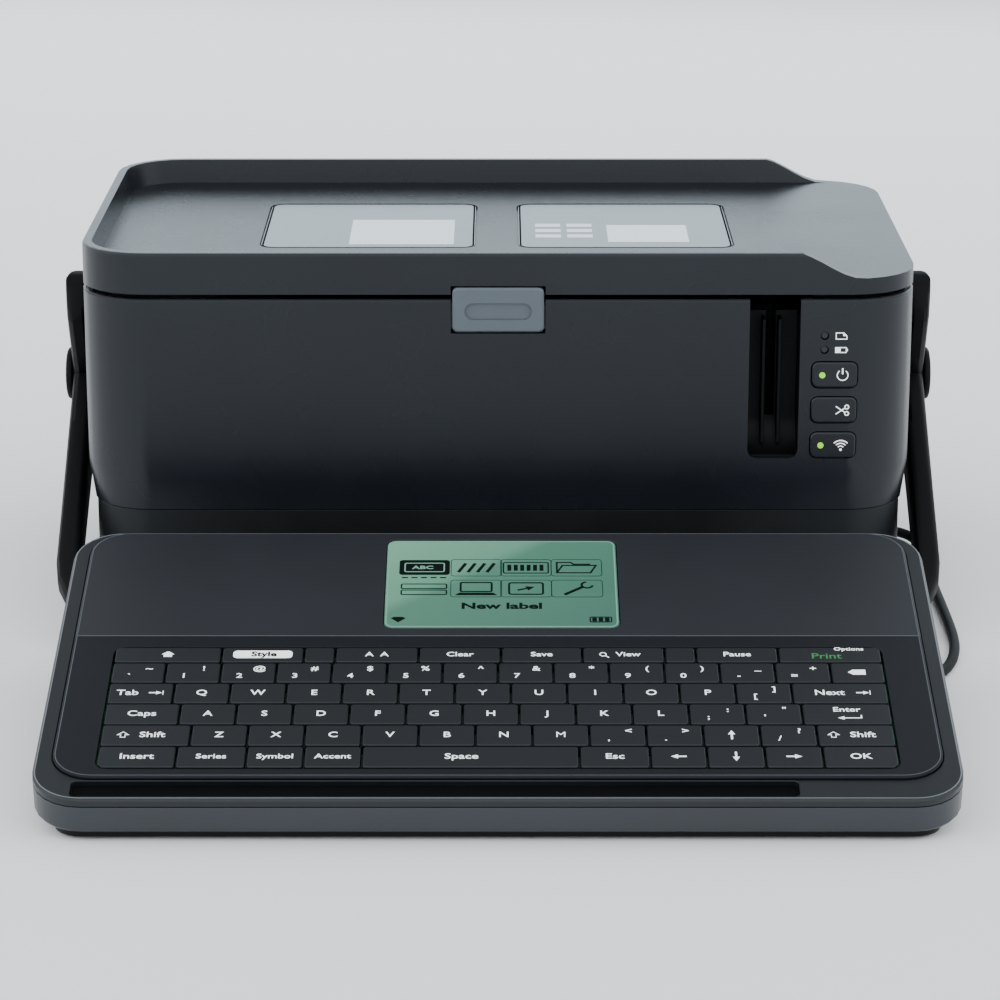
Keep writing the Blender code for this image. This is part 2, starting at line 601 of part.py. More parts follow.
def gear(name, centre, phase):
    """A spur gear with blunt teeth, thin enough to run free of its neighbour."""
    teeth = TEETH[name]
    radius = MODULE * teeth / 2
    step = 2 * math.pi / teeth
    outline = []
    for k in range(teeth):
        for part, r in ((-0.25, -1.15), (-0.09, 0.75), (0.09, 0.75), (0.25, -1.15)):
            a = phase + (k + part) * step
            outline.append((centre[0] + (radius + r * MODULE) * math.cos(a),
                            centre[1] + (radius + r * MODULE) * math.sin(a)))
    return prism(outline, *GEAR_Z)


def meshing_phase(a, centre_a, phase_a, b, centre_b):
    """Turns gear b so that a gap of its teeth faces a tooth of gear a."""
    line = math.atan2(centre_b[1] - centre_a[1], centre_b[0] - centre_a[0])
    return line + math.pi - (TEETH[a] * (phase_a - line) + math.pi) / TEETH[b]


def tape_drive():
    idler_phase = 0.0
    places = {"pinion": PINION_AT, "roller": ROLLER_AT, "spindle": SPINDLE_AT}
    phases = {n: meshing_phase("idler", IDLER_AT, idler_phase, n, at) for n, at in places.items()}
    carriers = {n: pivot(n + "_axis", *at, GEAR_Z[0]) for n, at in places.items()}
    carriers["idler"] = pivot("idler_axis", *IDLER_AT, GEAR_Z[0])

    pinion = plus(gear("pinion", PINION_AT, phases["pinion"]), rod(PINION_AT, 1.5, 55, 60, 10))
    piece("motor_pinion", pinion, "gear_white", carriers["pinion"])
    idler = plus(gear("idler", IDLER_AT, idler_phase), rod(IDLER_AT, 2.0, 49.4, 60.0, 10))
    holes = [rod((IDLER_AT[0] + 11.5 * math.cos(a), IDLER_AT[1] + 11.5 * math.sin(a)), 3.6, 45, 60, 10)
             for a in (math.radians(60 * i) for i in range(6))]
    piece("idler_gear", minus(idler, *holes), "gear_white", carriers["idler"])
    roller_gear = minus(gear("roller", ROLLER_AT, phases["roller"]), rod(ROLLER_AT, 2.3, 45, 60, 10))
    piece("roller_gear", roller_gear, "gear_white", carriers["roller"])
    roller = plus(rod(ROLLER_AT, 2.0, 49.4, 123, 10), rod(ROLLER_AT, 6.4, 67, 119, 20))
    piece("platen_roller", roller, "rubber_black", carriers["roller"])
    spindle = plus(gear("spindle", SPINDLE_AT, phases["spindle"]), rod(SPINDLE_AT, 4.0, 55, 96, 12))
    fins = [box(SPINDLE_AT[0] - a, SPINDLE_AT[0] + a, SPINDLE_AT[1] - b, SPINDLE_AT[1] + b, 66, 92)
            for a, b in ((4.9, 0.8), (0.8, 4.9))]
    piece("ribbon_spindle", plus(spindle, *fins), "gear_white", carriers["spindle"])

    chassis = box(8, 148, BODY_FRONT + 24, BODY_FRONT + 144, *CHASSIS_Z)
    bores = [rod(PINION_AT, 2.2, 50, 60, 12), rod(IDLER_AT, 2.5, 50, 60, 12),
             rod(ROLLER_AT, 2.5, 50, 60, 12), rod(SPINDLE_AT, 5.0, 50, 60, 14)]
    piece("mechanism_chassis", minus(chassis, *bores), "steel")
    motor = plus(rod(PINION_AT, 12.0, 60.4, 92, 20), rod(PINION_AT, 4.0, 91, 94, 12))
    feet = [box(PINION_AT[0] + s * 8 - 2, PINION_AT[0] + s * 8 + 2, PINION_AT[1] - 3, PINION_AT[1] + 3,
                CHASSIS_Z[1] + GAP, 62) for s in (-1, 1)]
    piece("feed_motor", plus(motor, *feet), "steel")


def print_head():
    x = ROLLER_AT[0] - 6.4 - 0.5
    y = ROLLER_AT[1]
    head = prism([(x, y - 7), (x, y + 7), (x - 1.8, y + 8), (x - 1.8, y - 8)], 68, 118)
    piece("print_head", head, "gear_white")
    bracket = plus(box(x - 4.2, x - 2.1, y - 9, y + 9, CHASSIS_Z[1] + GAP, 120),
                   box(x - 4.2, x + 4, y - 9, y + 9, CHASSIS_Z[1] + GAP, 60.3))
    bracket = minus(bracket, rod(ROLLER_AT, 3.2, 50, 70, 12))
    piece("head_bracket", bracket, "steel")


def cutter():
    carrier = pivot("cutter_axis", 107, BODY_FRONT + 18.4, 98)
    y = BODY_FRONT + 17.6
    edge = [(107.0, 84.0), (125.0, 84.0), (125.0, 119.0), (111.0, 119.0)]
    blade = prism(edge, y, y + 0.9, along="Y")
    block = box(116, 124, y + 0.6, y + 6.0, 88, 114)
    piece("cutter_blade", plus(blade, block), "steel", carrier)


# ---------------------------------------------------------------- keyboard

def flange(inset, front_inset=None):
    front = FLANGE_FRONT + (inset if front_inset is None else front_inset)
    return rounded(-FLANGE_HALF_W + inset, FLANGE_HALF_W - inset, front, FLANGE_REAR - inset,
                   FLANGE_R - inset)


def face_outline(margin):
    return rounded(-FACE_HALF_W - margin, FACE_HALF_W + margin, -margin, FACE_LENGTH + margin,
                   14.0 + margin)


def key_field(margin):
    return rounded(-KEY_HALF_FIELD - margin, KEY_HALF_FIELD + margin, ROWS_FRONT - margin,
                   ROWS_FRONT + 5 * ROW_PITCH + TOP_ROW_H + margin, 3.6 + margin, 3)


def display_outline(margin, radius=3.4):
    return rounded(DISPLAY_X[0] - margin, DISPLAY_X[1] + margin, DISPLAY_U[0] - margin,
                   DISPLAY_U[1] + margin, radius, 3)


def keyboard_case(carrier):
    lower = loft([(FLANGE_BOTTOM_W, flange(0.9)), (FLANGE_BOTTOM_W + 1.2, flange(0)),
                  (SEAM_W[0], flange(0))], KEYBOARD)
    belly_side = flange(BELLY_INSET, BELLY_FRONT_INSET)
    belly = loft([(BELLY_BOTTOM_W, flange(BELLY_INSET + 1.5, BELLY_FRONT_INSET + 1.5)),
                  (BELLY_BOTTOM_W + 2.0, belly_side), (FLANGE_BOTTOM_W + 2.1, belly_side)], KEYBOARD)
    ground = box(-200, 200, FACE_FRONT[0] - 60, FACE_FRONT[0] + 200, -60, UNDERSIDE_Z)
    upper_room = prism(flange(CASE_WALL), -9.6, 0.0, KEYBOARD)
    lower_room = box(-80, 80, 50, FLANGE_REAR - BELLY_INSET - 4, -21.5, -9.0, KEYBOARD)
    case = minus(plus(lower, belly), ground, upper_room, lower_room)
    for s in (-1, 1):
        x0, x1 = sorted((s * LEG_X[0], s * LEG_X[1]))
        case = minus(case, box(x0 - GAP, x1 + GAP, LEG_U - LEG_POCKET, LEG_U + 5, -30, LEG_W + 2.6,
                               KEYBOARD),
                     rod((LEG_U, LEG_W), LEG_PIN_R + 0.35, x0 - 3.4, x1 + 3.4, 12, KEYBOARD, "X"))
    piece("keyboard_bottom_case", case, "frame_black", carrier)

    top = loft([(SEAM_W[1], flange(0)), (RIM_W - 0.8, flange(0)), (RIM_W, flange(0.9))], KEYBOARD)
    seat = prism(face_outline(GAP), -1.9, 1.0, KEYBOARD)
    keys = prism(key_field(0.8), -5, 1.0, KEYBOARD)
    display = prism(display_outline(0.8), -5, 1.0, KEYBOARD)
    groove = prism(rounded(*GROOVE_X, *GROOVE_U, 1.5, 2), -3.2, 1.0, KEYBOARD)
    piece("keyboard_top_case", minus(top, seat, keys, display, groove), "frame_black", carrier)

    face = loft([(-1.6, face_outline(0)), (-0.4, face_outline(0)), (0.0, face_outline(-0.4))], KEYBOARD)
    keys = prism(key_field(0.3), -5, 1.0, KEYBOARD)
    display = prism(display_outline(GAP), -5, 1.0, KEYBOARD)
    piece("keyboard_faceplate", minus(face, keys, display), "body_black", carrier)


def keyboard_insides(carrier):
    window = prism(display_outline(0.0, 3.1), -1.4, -0.1, KEYBOARD)
    piece("display_window", window, "screen_green", carrier)
    module = box(DISPLAY_X[0] + 1, DISPLAY_X[1] - 1, DISPLAY_U[0] + 1, DISPLAY_U[1] - 1, -8.4, -2.0,
                 KEYBOARD)
    piece("display_module", module, "battery_grey", carrier)
    rows_back = ROWS_FRONT + 5 * ROW_PITCH + TOP_ROW_H
    board = box(-KEY_HALF_FIELD - 4, KEY_HALF_FIELD + 4, ROWS_FRONT - 2, rows_back + 6, -7.0, -5.4,
                KEYBOARD)
    piece("keyboard_board", board, "board_green", carrier)
    y = KEYBOARD_FOOT_Y
    strip = prism(rounded(-128, 128, y - 4, y + 4, 3.8, 3), 0, UNDERSIDE_Z - GAP)
    piece("keyboard_front_foot", strip, "rubber_black", carrier)
    gland = loft([(-28.5, circle(KB_GLAND_X, KB_GLAND_U, 2.9, 12)),
                  (-24.3, circle(KB_GLAND_X, KB_GLAND_U, 4.4, 12))], KEYBOARD)
    piece("keyboard_cable_gland", gland, "rubber_black", carrier)


def tilt_legs():
    y, z = slope(LEG_U, LEG_W)
    foot_y = y + 4.0
    for s, name in ((-1, "left_tilt_leg"), (1, "right_tilt_leg")):
        carrier = pivot(name + "_axis", s * sum(LEG_X) / 2, y, z)
        x0, x1 = sorted((s * LEG_X[0], s * LEG_X[1]))
        arc = [(y + 2.1 * math.cos(a), z + 2.1 * math.sin(a)) for a in
               (math.radians(-8 + 184 * i / 6) for i in range(7))]
        outline = arc + [(foot_y - 2.6, 0.9), (foot_y - 1.8, 0.0), (foot_y + 1.8, 0.0),
                         (foot_y + 2.6, 0.9)]
        leg = prism(outline, x0, x1, along="X")
        pin = rod((y, z), LEG_PIN_R, x0 - 3.0, x1 + 3.0, 12, along="X")
        window = box(x0 + 6, x1 - 6, y - 20, y + 20, 5, z - 7)
        piece(name, minus(plus(leg, pin), window), "frame_black", carrier)


KEY_ROWS = (
    # name, widths in key pitches from the left, index of a key that has its own node
    ("bottom_row_keys", (1.36, 1.21, 0.99, 1.0, 3.75, 1.22, 0.98, 1.0, 1.0, 1.3), 4),
    ("lower_row_keys", (1.58,) + (1.0,) * 11 + (1.37,), None),
    ("home_row_keys", (1.33,) + (1.0,) * 11 + (1.58,), None),
    ("upper_row_keys", (1.17,) + (1.0,) * 11 + (1.71,), None),
    ("number_row_keys", (0.975,) + (1.0,) * 12 + (0.975,), None),
    ("function_row_keys", (1.93, 1.48, 0.56, 1.5, 1.48, 1.46, 1.48, 0.56, 1.48, 1.86), None),
)


def key_cap(x0, x1, u0, u1):
    side = rounded(x0, x1, u0, u1, 0.6, 1)
    crown = rounded(x0 + 0.35, x1 - 0.35, u0 + 0.35, u1 - 0.35, 0.6, 1)
    return loft([(KEY_BOTTOM, side), (KEY_TOP - 0.35, side), (KEY_TOP, crown)], KEYBOARD)


def web_room(x0, x1, u, depth):
    """The room under a key for the web that joins its neighbours on both sides."""
    return box(x0 - 1, x1 + 1, u + WEB_EDGE - GAP, u + depth - WEB_EDGE + GAP, KEY_BOTTOM - 1,
               KEY_BOTTOM + 2 * WEB + KEY_TRAVEL, KEYBOARD)


def keys():
    """The keys of a row are moulded in one, joined by a thin web, apart from the space bar."""
    u = ROWS_FRONT
    for name, widths, own in KEY_ROWS:
        depth = TOP_ROW_H if name == "function_row_keys" else ROW_PITCH
        scale = 2 * KEY_HALF_FIELD / sum(widths)
        x = -KEY_HALF_FIELD
        caps = []
        y, z = slope(u + depth / 2, 0)
        half = KEY_GAP / 2
        for i, width in enumerate(widths):
            cap = key_cap(x + half, x + width * scale - half, u + half, u + depth - half)
            if i == own:
                piece("space_key", minus(cap, web_room(x, x + width * scale, u, depth)), "key_black",
                      pivot("space_key_axis", 0, y, z))
            else:
                caps.append(cap)
            x += width * scale
        web = box(-KEY_HALF_FIELD + 1, KEY_HALF_FIELD - 1, u + WEB_EDGE, u + depth - WEB_EDGE,
                  KEY_BOTTOM + WEB_LIFT, KEY_BOTTOM + WEB_LIFT + WEB, KEYBOARD)
        row = plus(web, *caps)
        if name in ("bottom_row_keys", "function_row_keys"):
            row = combine(row, [prism(key_field(0), -8, 4, KEYBOARD)], "INTERSECT")
        piece(name, row, "key_black", pivot(name + "_axis", 0, y, z))
        u += depth


# ---------------------------------------------------------------- cable

def smooth_route(points, parts):
    """Points on a Catmull-Rom curve through the route's own points."""
    route = [Vector((x, BODY_FRONT + y, z)) for x, y, z in points]
    ends = [route[0] * 2 - route[1]] + route + [route[-1] * 2 - route[-2]]
    made = []
    for k in range(1, len(ends) - 2):
        a, b, c, d = ends[k - 1:k + 3]
        for i in range(parts):
            t = i / parts
            made.append(0.5 * ((2 * b) + (c - a) * t + (2 * a - 5 * b + 4 * c - d) * t * t
                               + (3 * b - 3 * c + d - a) * t ** 3))
    return made + [route[-1]]


def cable():
    points = smooth_route(CABLE_ROUTE, 2)
    curve = bpy.data.curves.new("keyboard_cable", "CURVE")
    curve.dimensions = "3D"
    curve.bevel_depth = CABLE_R * MM
    curve.bevel_resolution = 2
    curve.use_fill_caps = True
    line = curve.splines.new("POLY")
    line.points.add(len(points) - 1)
    for spot, p in zip(line.points, points):
        spot.co = (*(p * MM), 1.0)
    tube = bpy.data.objects.new("keyboard_cable", curve)
    curve.materials.append(material("rubber_black"))
    bpy.context.collection.objects.link(tube)
    x = BODY_HALF_W - BASE_INSET + GAP
    gland = loft([(x, circle(PRINTER_GLAND_Y, PRINTER_GLAND_Z, 5.0, 12)),
                  (x + 1.6, circle(PRINTER_GLAND_Y, PRINTER_GLAND_Z, 5.0, 12)),
                  (CABLE_ROUTE[0][0] - GAP, circle(PRINTER_GLAND_Y, PRINTER_GLAND_Z, 2.9, 12))],
                 along="X")
    piece("printer_cable_gland", gland, "rubber_black")


def main():
    clear_scene()
    base_shell()
    base_fittings()
    body_shell()
    deck_frame()
    tape_exit_guide()
    rear_ports()
    main_board()
    button_board()
    lid_axis = pivot("lid_axis", 0, HINGE_Y, HINGE_Z)
    top_lid(lid_axis)
    lid_pieces(lid_axis)
    hinge_hardware()
    release_button()
    front_buttons()
    handle()
    tape_drive()
    print_head()
    cutter()
    keyboard_axis = pivot("keyboard_axis", 0, *FACE_FRONT)
    keyboard_case(keyboard_axis)
    keyboard_insides(keyboard_axis)
    tilt_legs()
    keys()
    cable()


main()
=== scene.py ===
"""Looks for the desktop label maker: materials, printed marks, lights and camera round the CAD frame."""

import json
import math

import bmesh
import bpy
from mathutils import Matrix, Vector


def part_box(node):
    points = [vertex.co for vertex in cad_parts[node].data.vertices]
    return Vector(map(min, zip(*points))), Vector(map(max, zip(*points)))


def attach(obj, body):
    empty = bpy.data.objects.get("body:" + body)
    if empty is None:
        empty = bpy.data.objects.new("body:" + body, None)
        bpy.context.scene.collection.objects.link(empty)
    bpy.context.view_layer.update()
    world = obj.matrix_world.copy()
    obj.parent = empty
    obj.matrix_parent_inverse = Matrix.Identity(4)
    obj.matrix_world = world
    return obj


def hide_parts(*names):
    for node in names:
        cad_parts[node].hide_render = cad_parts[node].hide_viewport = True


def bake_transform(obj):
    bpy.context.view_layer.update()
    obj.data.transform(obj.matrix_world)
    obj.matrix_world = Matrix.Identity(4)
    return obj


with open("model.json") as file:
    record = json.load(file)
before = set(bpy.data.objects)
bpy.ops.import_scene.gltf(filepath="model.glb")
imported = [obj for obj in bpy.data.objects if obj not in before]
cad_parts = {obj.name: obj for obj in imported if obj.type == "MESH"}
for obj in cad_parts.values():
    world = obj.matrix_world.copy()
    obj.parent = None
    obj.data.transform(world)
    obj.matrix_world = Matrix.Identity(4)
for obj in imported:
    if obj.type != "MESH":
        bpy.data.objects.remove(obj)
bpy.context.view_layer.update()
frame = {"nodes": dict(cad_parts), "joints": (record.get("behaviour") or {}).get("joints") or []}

MM = 0.001
INK_LIFT = 0.00003            # printed marks stand this far off their surface
INK_THICK = 0.00004
CAMERA_AT = Vector((0.0007, -1.26605, 0.436))
CAMERA_PITCH = math.radians(16.65)
CAMERA_LENS = 127.1           # on a 36 mm sensor
RELIEF = 0.0001               # how deep a bump map's full range is
CLOUD_SCALE = 18.0            # of the slow changes of tone, in cycles per metre
COOL_SHINE = (0.90, 0.96, 1.0, 1.0)
WELD_WITHIN = 0.000004
FLAT_WITHIN = math.radians(0.6)
EDGE_OVER = math.radians(34)

GROOVE_X = (-0.1387, 0.0977)  # the groove in front of the faceplate, in the keyboard's own frame
GROOVE_U = (-0.0092, -0.0012)
GROOVE_W = -0.0032
FLANGE_BOTTOM_W = -0.0145     # where the case's side ends and its belly begins
PANEL_CORNER = 0.0045         # the lid panels' corners, and how far in their outline is printed
PANEL_EDGE = 0.0007

NODES = frame["nodes"]
JOINTS = {joint["name"]: joint for joint in frame["joints"]}


# ---------------------------------------------------------------- places taken from the frame

def box(node):
    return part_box(node)


def keyboard_frame():
    """x across, u up the slope, w out of the face; its origin is the faceplate's front edge."""
    down = Vector(JOINTS["space_press"]["axis"])
    out = -down.normalized()
    up = Vector((0, out.z, -out.y))
    corners = [v.co for v in NODES["keyboard_faceplate"].data.vertices]
    u0 = min(c.dot(up) for c in corners)
    w0 = max(c.dot(out) for c in corners)
    turn = Matrix((Vector((1, 0, 0)), up, out)).transposed().to_4x4()
    return Matrix.Translation(up * u0 + out * w0) @ turn


KB = keyboard_frame()


def local_box(node, space):
    """Lowest and highest corner of a CAD node in another space."""
    inverse = space.inverted()
    points = [inverse @ v.co for v in NODES[node].data.vertices]
    return (Vector(min(p[i] for p in points) for i in range(3)),
            Vector(max(p[i] for p in points) for i in range(3)))


UP = KB.to_3x3() @ Vector((0, 1, 0))
OUT = KB.to_3x3() @ Vector((0, 0, 1))
# The faceplate's divider line, just above the middle of the gap between the keys and the display
DIVIDE_U = (local_box("function_row_keys", KB)[1].y + local_box("display_window", KB)[0].y) / 2 + 1.2 * MM
FRONT_Y = box("body_shell")[0].y
DECK_Z = box("left_lid_panel")[1].z
DECK = Matrix.Translation((0, 0, DECK_Z))


def front_plane(y):
    """An upright plane facing the front, whose second axis is up."""
    return Matrix.Translation((0, y, 0)) @ Matrix.Rotation(math.radians(90), 4, "X")


# ---------------------------------------------------------------- materials

def new_material(name):
    made = bpy.data.materials.new(name)
    made.use_nodes = True
    return made, made.node_tree.nodes, made.node_tree.links


def scaled_noise(nodes, links, scale, detail=3.0, rough=0.55, stretch=(1, 1, 1)):
    """Noise in the object's own coordinates, whose size is in metres."""
    place = nodes.new("ShaderNodeTexCoord")
    mapping = nodes.new("ShaderNodeMapping")
    mapping.inputs["Scale"].default_value = stretch
    noise = nodes.new("ShaderNodeTexNoise")
    noise.inputs["Scale"].default_value = scale
    noise.inputs["Detail"].default_value = detail
    noise.inputs["Roughness"].default_value = rough
    links.new(place.outputs["Object"], mapping.inputs["Vector"])
    links.new(mapping.outputs["Vector"], noise.inputs["Vector"])
    return noise.outputs["Fac"]


def ramp_of(nodes, links, source, stops):
    ramp = nodes.new("ShaderNodeValToRGB")
    points = ramp.color_ramp.elements
    while len(points) < len(stops):
        points.new(0.5)
    for point, (at, colour) in zip(points, stops):
        point.position = at
        point.color = (*colour, 1.0)
    links.new(source, ramp.inputs["Fac"])
    return ramp.outputs["Color"]


def plastic(name, colour, rough, grain, bump, spread=0.12, specular=0.5):
    """Moulded plastic: fine grain in the surface, and faint slow changes of tone and gloss."""
    made, nodes, links = new_material(name)
    shader = nodes["Principled BSDF"]
    slow = scaled_noise(nodes, links, CLOUD_SCALE, 4.0)
    dark = tuple(c * (1 - spread) for c in colour)
    light = tuple(c * (1 + spread) for c in colour)
    tone = ramp_of(nodes, links, slow, ((0.3, dark), (0.7, light)))
    links.new(tone, shader.inputs["Base Color"])
    fine = scaled_noise(nodes, links, grain, 2.0)
    gloss = nodes.new("ShaderNodeMapRange")
    gloss.inputs["From Min"].default_value = 0.3
    gloss.inputs["From Max"].default_value = 0.7
    gloss.inputs["To Min"].default_value = rough[0]
    gloss.inputs["To Max"].default_value = rough[1]
    links.new(slow, gloss.inputs["Value"])
    links.new(gloss.outputs["Result"], shader.inputs["Roughness"])
    relief = nodes.new("ShaderNodeBump")
    relief.inputs["Strength"].default_value = bump
    relief.inputs["Distance"].default_value = RELIEF
    links.new(fine, relief.inputs["Height"])
    links.new(relief.outputs["Normal"], shader.inputs["Normal"])
    shader.inputs["Specular IOR Level"].default_value = specular
    shader.inputs["Specular Tint"].default_value = COOL_SHINE
    return made


def lit_and_shaded_plastic(name, axis, edge, low, high, rough, grain, bump):
    """Plastic with one (colour, specular) below the edge along an axis, and another above it: a painted
    step of light and shade across one part.
    """
    made = plastic(name, high[0], rough, grain, bump)
    nodes, links = made.node_tree.nodes, made.node_tree.links
    shader = nodes["Principled BSDF"]
    place = nodes.new("ShaderNodeTexCoord")
    height = nodes.new("ShaderNodeVectorMath")
    height.operation = "DOT_PRODUCT"
    height.inputs[1].default_value = axis
    links.new(place.outputs["Object"], height.inputs[0])
    above = nodes.new("ShaderNodeMapRange")
    above.inputs["From Min"].default_value = edge - 0.3 * MM
    above.inputs["From Max"].default_value = edge
    links.new(height.outputs["Value"], above.inputs["Value"])
    tone = nodes.new("ShaderNodeMix")
    tone.data_type = "RGBA"
    tone.inputs["A"].default_value = (*low[0], 1.0)
    links.new(above.outputs["Result"], tone.inputs["Factor"])
    links.new(shader.inputs["Base Color"].links[0].from_socket, tone.inputs["B"])
    links.new(tone.outputs["Result"], shader.inputs["Base Color"])
    shine = nodes.new("ShaderNodeMapRange")
    shine.inputs["To Min"].default_value = low[1]
    shine.inputs["To Max"].default_value = high[1]
    links.new(above.outputs["Result"], shine.inputs["Value"])
    links.new(shine.outputs["Result"], shader.inputs["Specular IOR Level"])
    return made


def brushed_steel(name, colour, rough):
    made, nodes, links = new_material(name)
    shader = nodes["Principled BSDF"]
    streak = scaled_noise(nodes, links, 300.0, 3.0, stretch=(0.05, 1.0, 1.0))
    tone = ramp_of(nodes, links, streak, ((0.3, tuple(c * 0.85 for c in colour)), (0.7, colour)))
    links.new(tone, shader.inputs["Base Color"])
    relief = nodes.new("ShaderNodeBump")
    relief.inputs["Strength"].default_value = 0.15
    relief.inputs["Distance"].default_value = RELIEF
    links.new(streak, relief.inputs["Height"])
    links.new(relief.outputs["Normal"], shader.inputs["Normal"])
    shader.inputs["Metallic"].default_value = 1.0
    shader.inputs["Roughness"].default_value = rough
    return made


def circuit_board(name):
    """Green solder mask with faint copper tracks below it."""
    made, nodes, links = new_material(name)
    shader = nodes["Principled BSDF"]
    place = nodes.new("ShaderNodeTexCoord")
    cells = nodes.new("ShaderNodeTexVoronoi")
    cells.distance = "MANHATTAN"
    cells.inputs["Scale"].default_value = 220.0
    links.new(place.outputs["Object"], cells.inputs["Vector"])
    tone = ramp_of(nodes, links, cells.outputs["Distance"],
                   ((0.2, (0.006, 0.07, 0.03)), (0.45, (0.01, 0.12, 0.05)), (0.5, (0.02, 0.2, 0.09))))
    links.new(tone, shader.inputs["Base Color"])
    shader.inputs["Roughness"].default_value = 0.35
    return made


def screen_glass(name):
    """Backlit green liquid crystal behind a clear window, with a painted reflection: a lighter diagonal
    band towards the upper left, which glows with the rest.
    """
    made, nodes, links = new_material(name)
    shader = nodes["Principled BSDF"]
    low, high = box("display_window")
    place = nodes.new("ShaderNodeTexCoord")
    parts = nodes.new("ShaderNodeSeparateXYZ")
    links.new(place.outputs["Object"], parts.inputs["Vector"])
    reflection_slant = nodes.new("ShaderNodeMath")
    reflection_slant.operation = "MULTIPLY_ADD"
    reflection_slant.inputs[1].default_value = -0.8
    links.new(parts.outputs["X"], reflection_slant.inputs[0])
    links.new(parts.outputs["Y"], reflection_slant.inputs[2])
    spread = nodes.new("ShaderNodeMapRange")
    spread.inputs["From Min"].default_value = low.y - 0.8 * high.x
    spread.inputs["From Max"].default_value = high.y - 0.8 * low.x
    links.new(reflection_slant.outputs["Value"], spread.inputs["Value"])
    # Painted reflection: the tone steps up sharply past 0.6, a lighter band across the upper left; the
    # emission carries it too.
    tone = ramp_of(nodes, links, spread.outputs["Result"],
                   ((0.0, (0.036, 0.110, 0.080)), (0.60, (0.056, 0.155, 0.108)),
                    (0.66, (0.090, 0.225, 0.155)), (1.0, (0.130, 0.300, 0.205))))
    links.new(tone, shader.inputs["Base Color"])
    links.new(tone, shader.inputs["Emission Color"])
    shader.inputs["Emission Strength"].default_value = 0.35
    shader.inputs["Roughness"].default_value = 0.35
    shader.inputs["Specular IOR Level"].default_value = 0.25
    shader.inputs["Coat Weight"].default_value = 0.2
    shader.inputs["Coat Roughness"].default_value = 0.04
    return made


def ink(name, colour, glow=0.0, rough=0.5, specular=0.5):
    """Pad-printed ink, a little uneven."""
    made, nodes, links = new_material(name)
    shader = nodes["Principled BSDF"]
    patch = scaled_noise(nodes, links, 900.0, 2.0)
    tone = ramp_of(nodes, links, patch, ((0.3, tuple(c * 0.92 for c in colour)), (0.7, colour)))
    links.new(tone, shader.inputs["Base Color"])
    if glow:
        links.new(tone, shader.inputs["Emission Color"])
        shader.inputs["Emission Strength"].default_value = glow
    shader.inputs["Roughness"].default_value = rough
    shader.inputs["Specular IOR Level"].default_value = specular
    return made


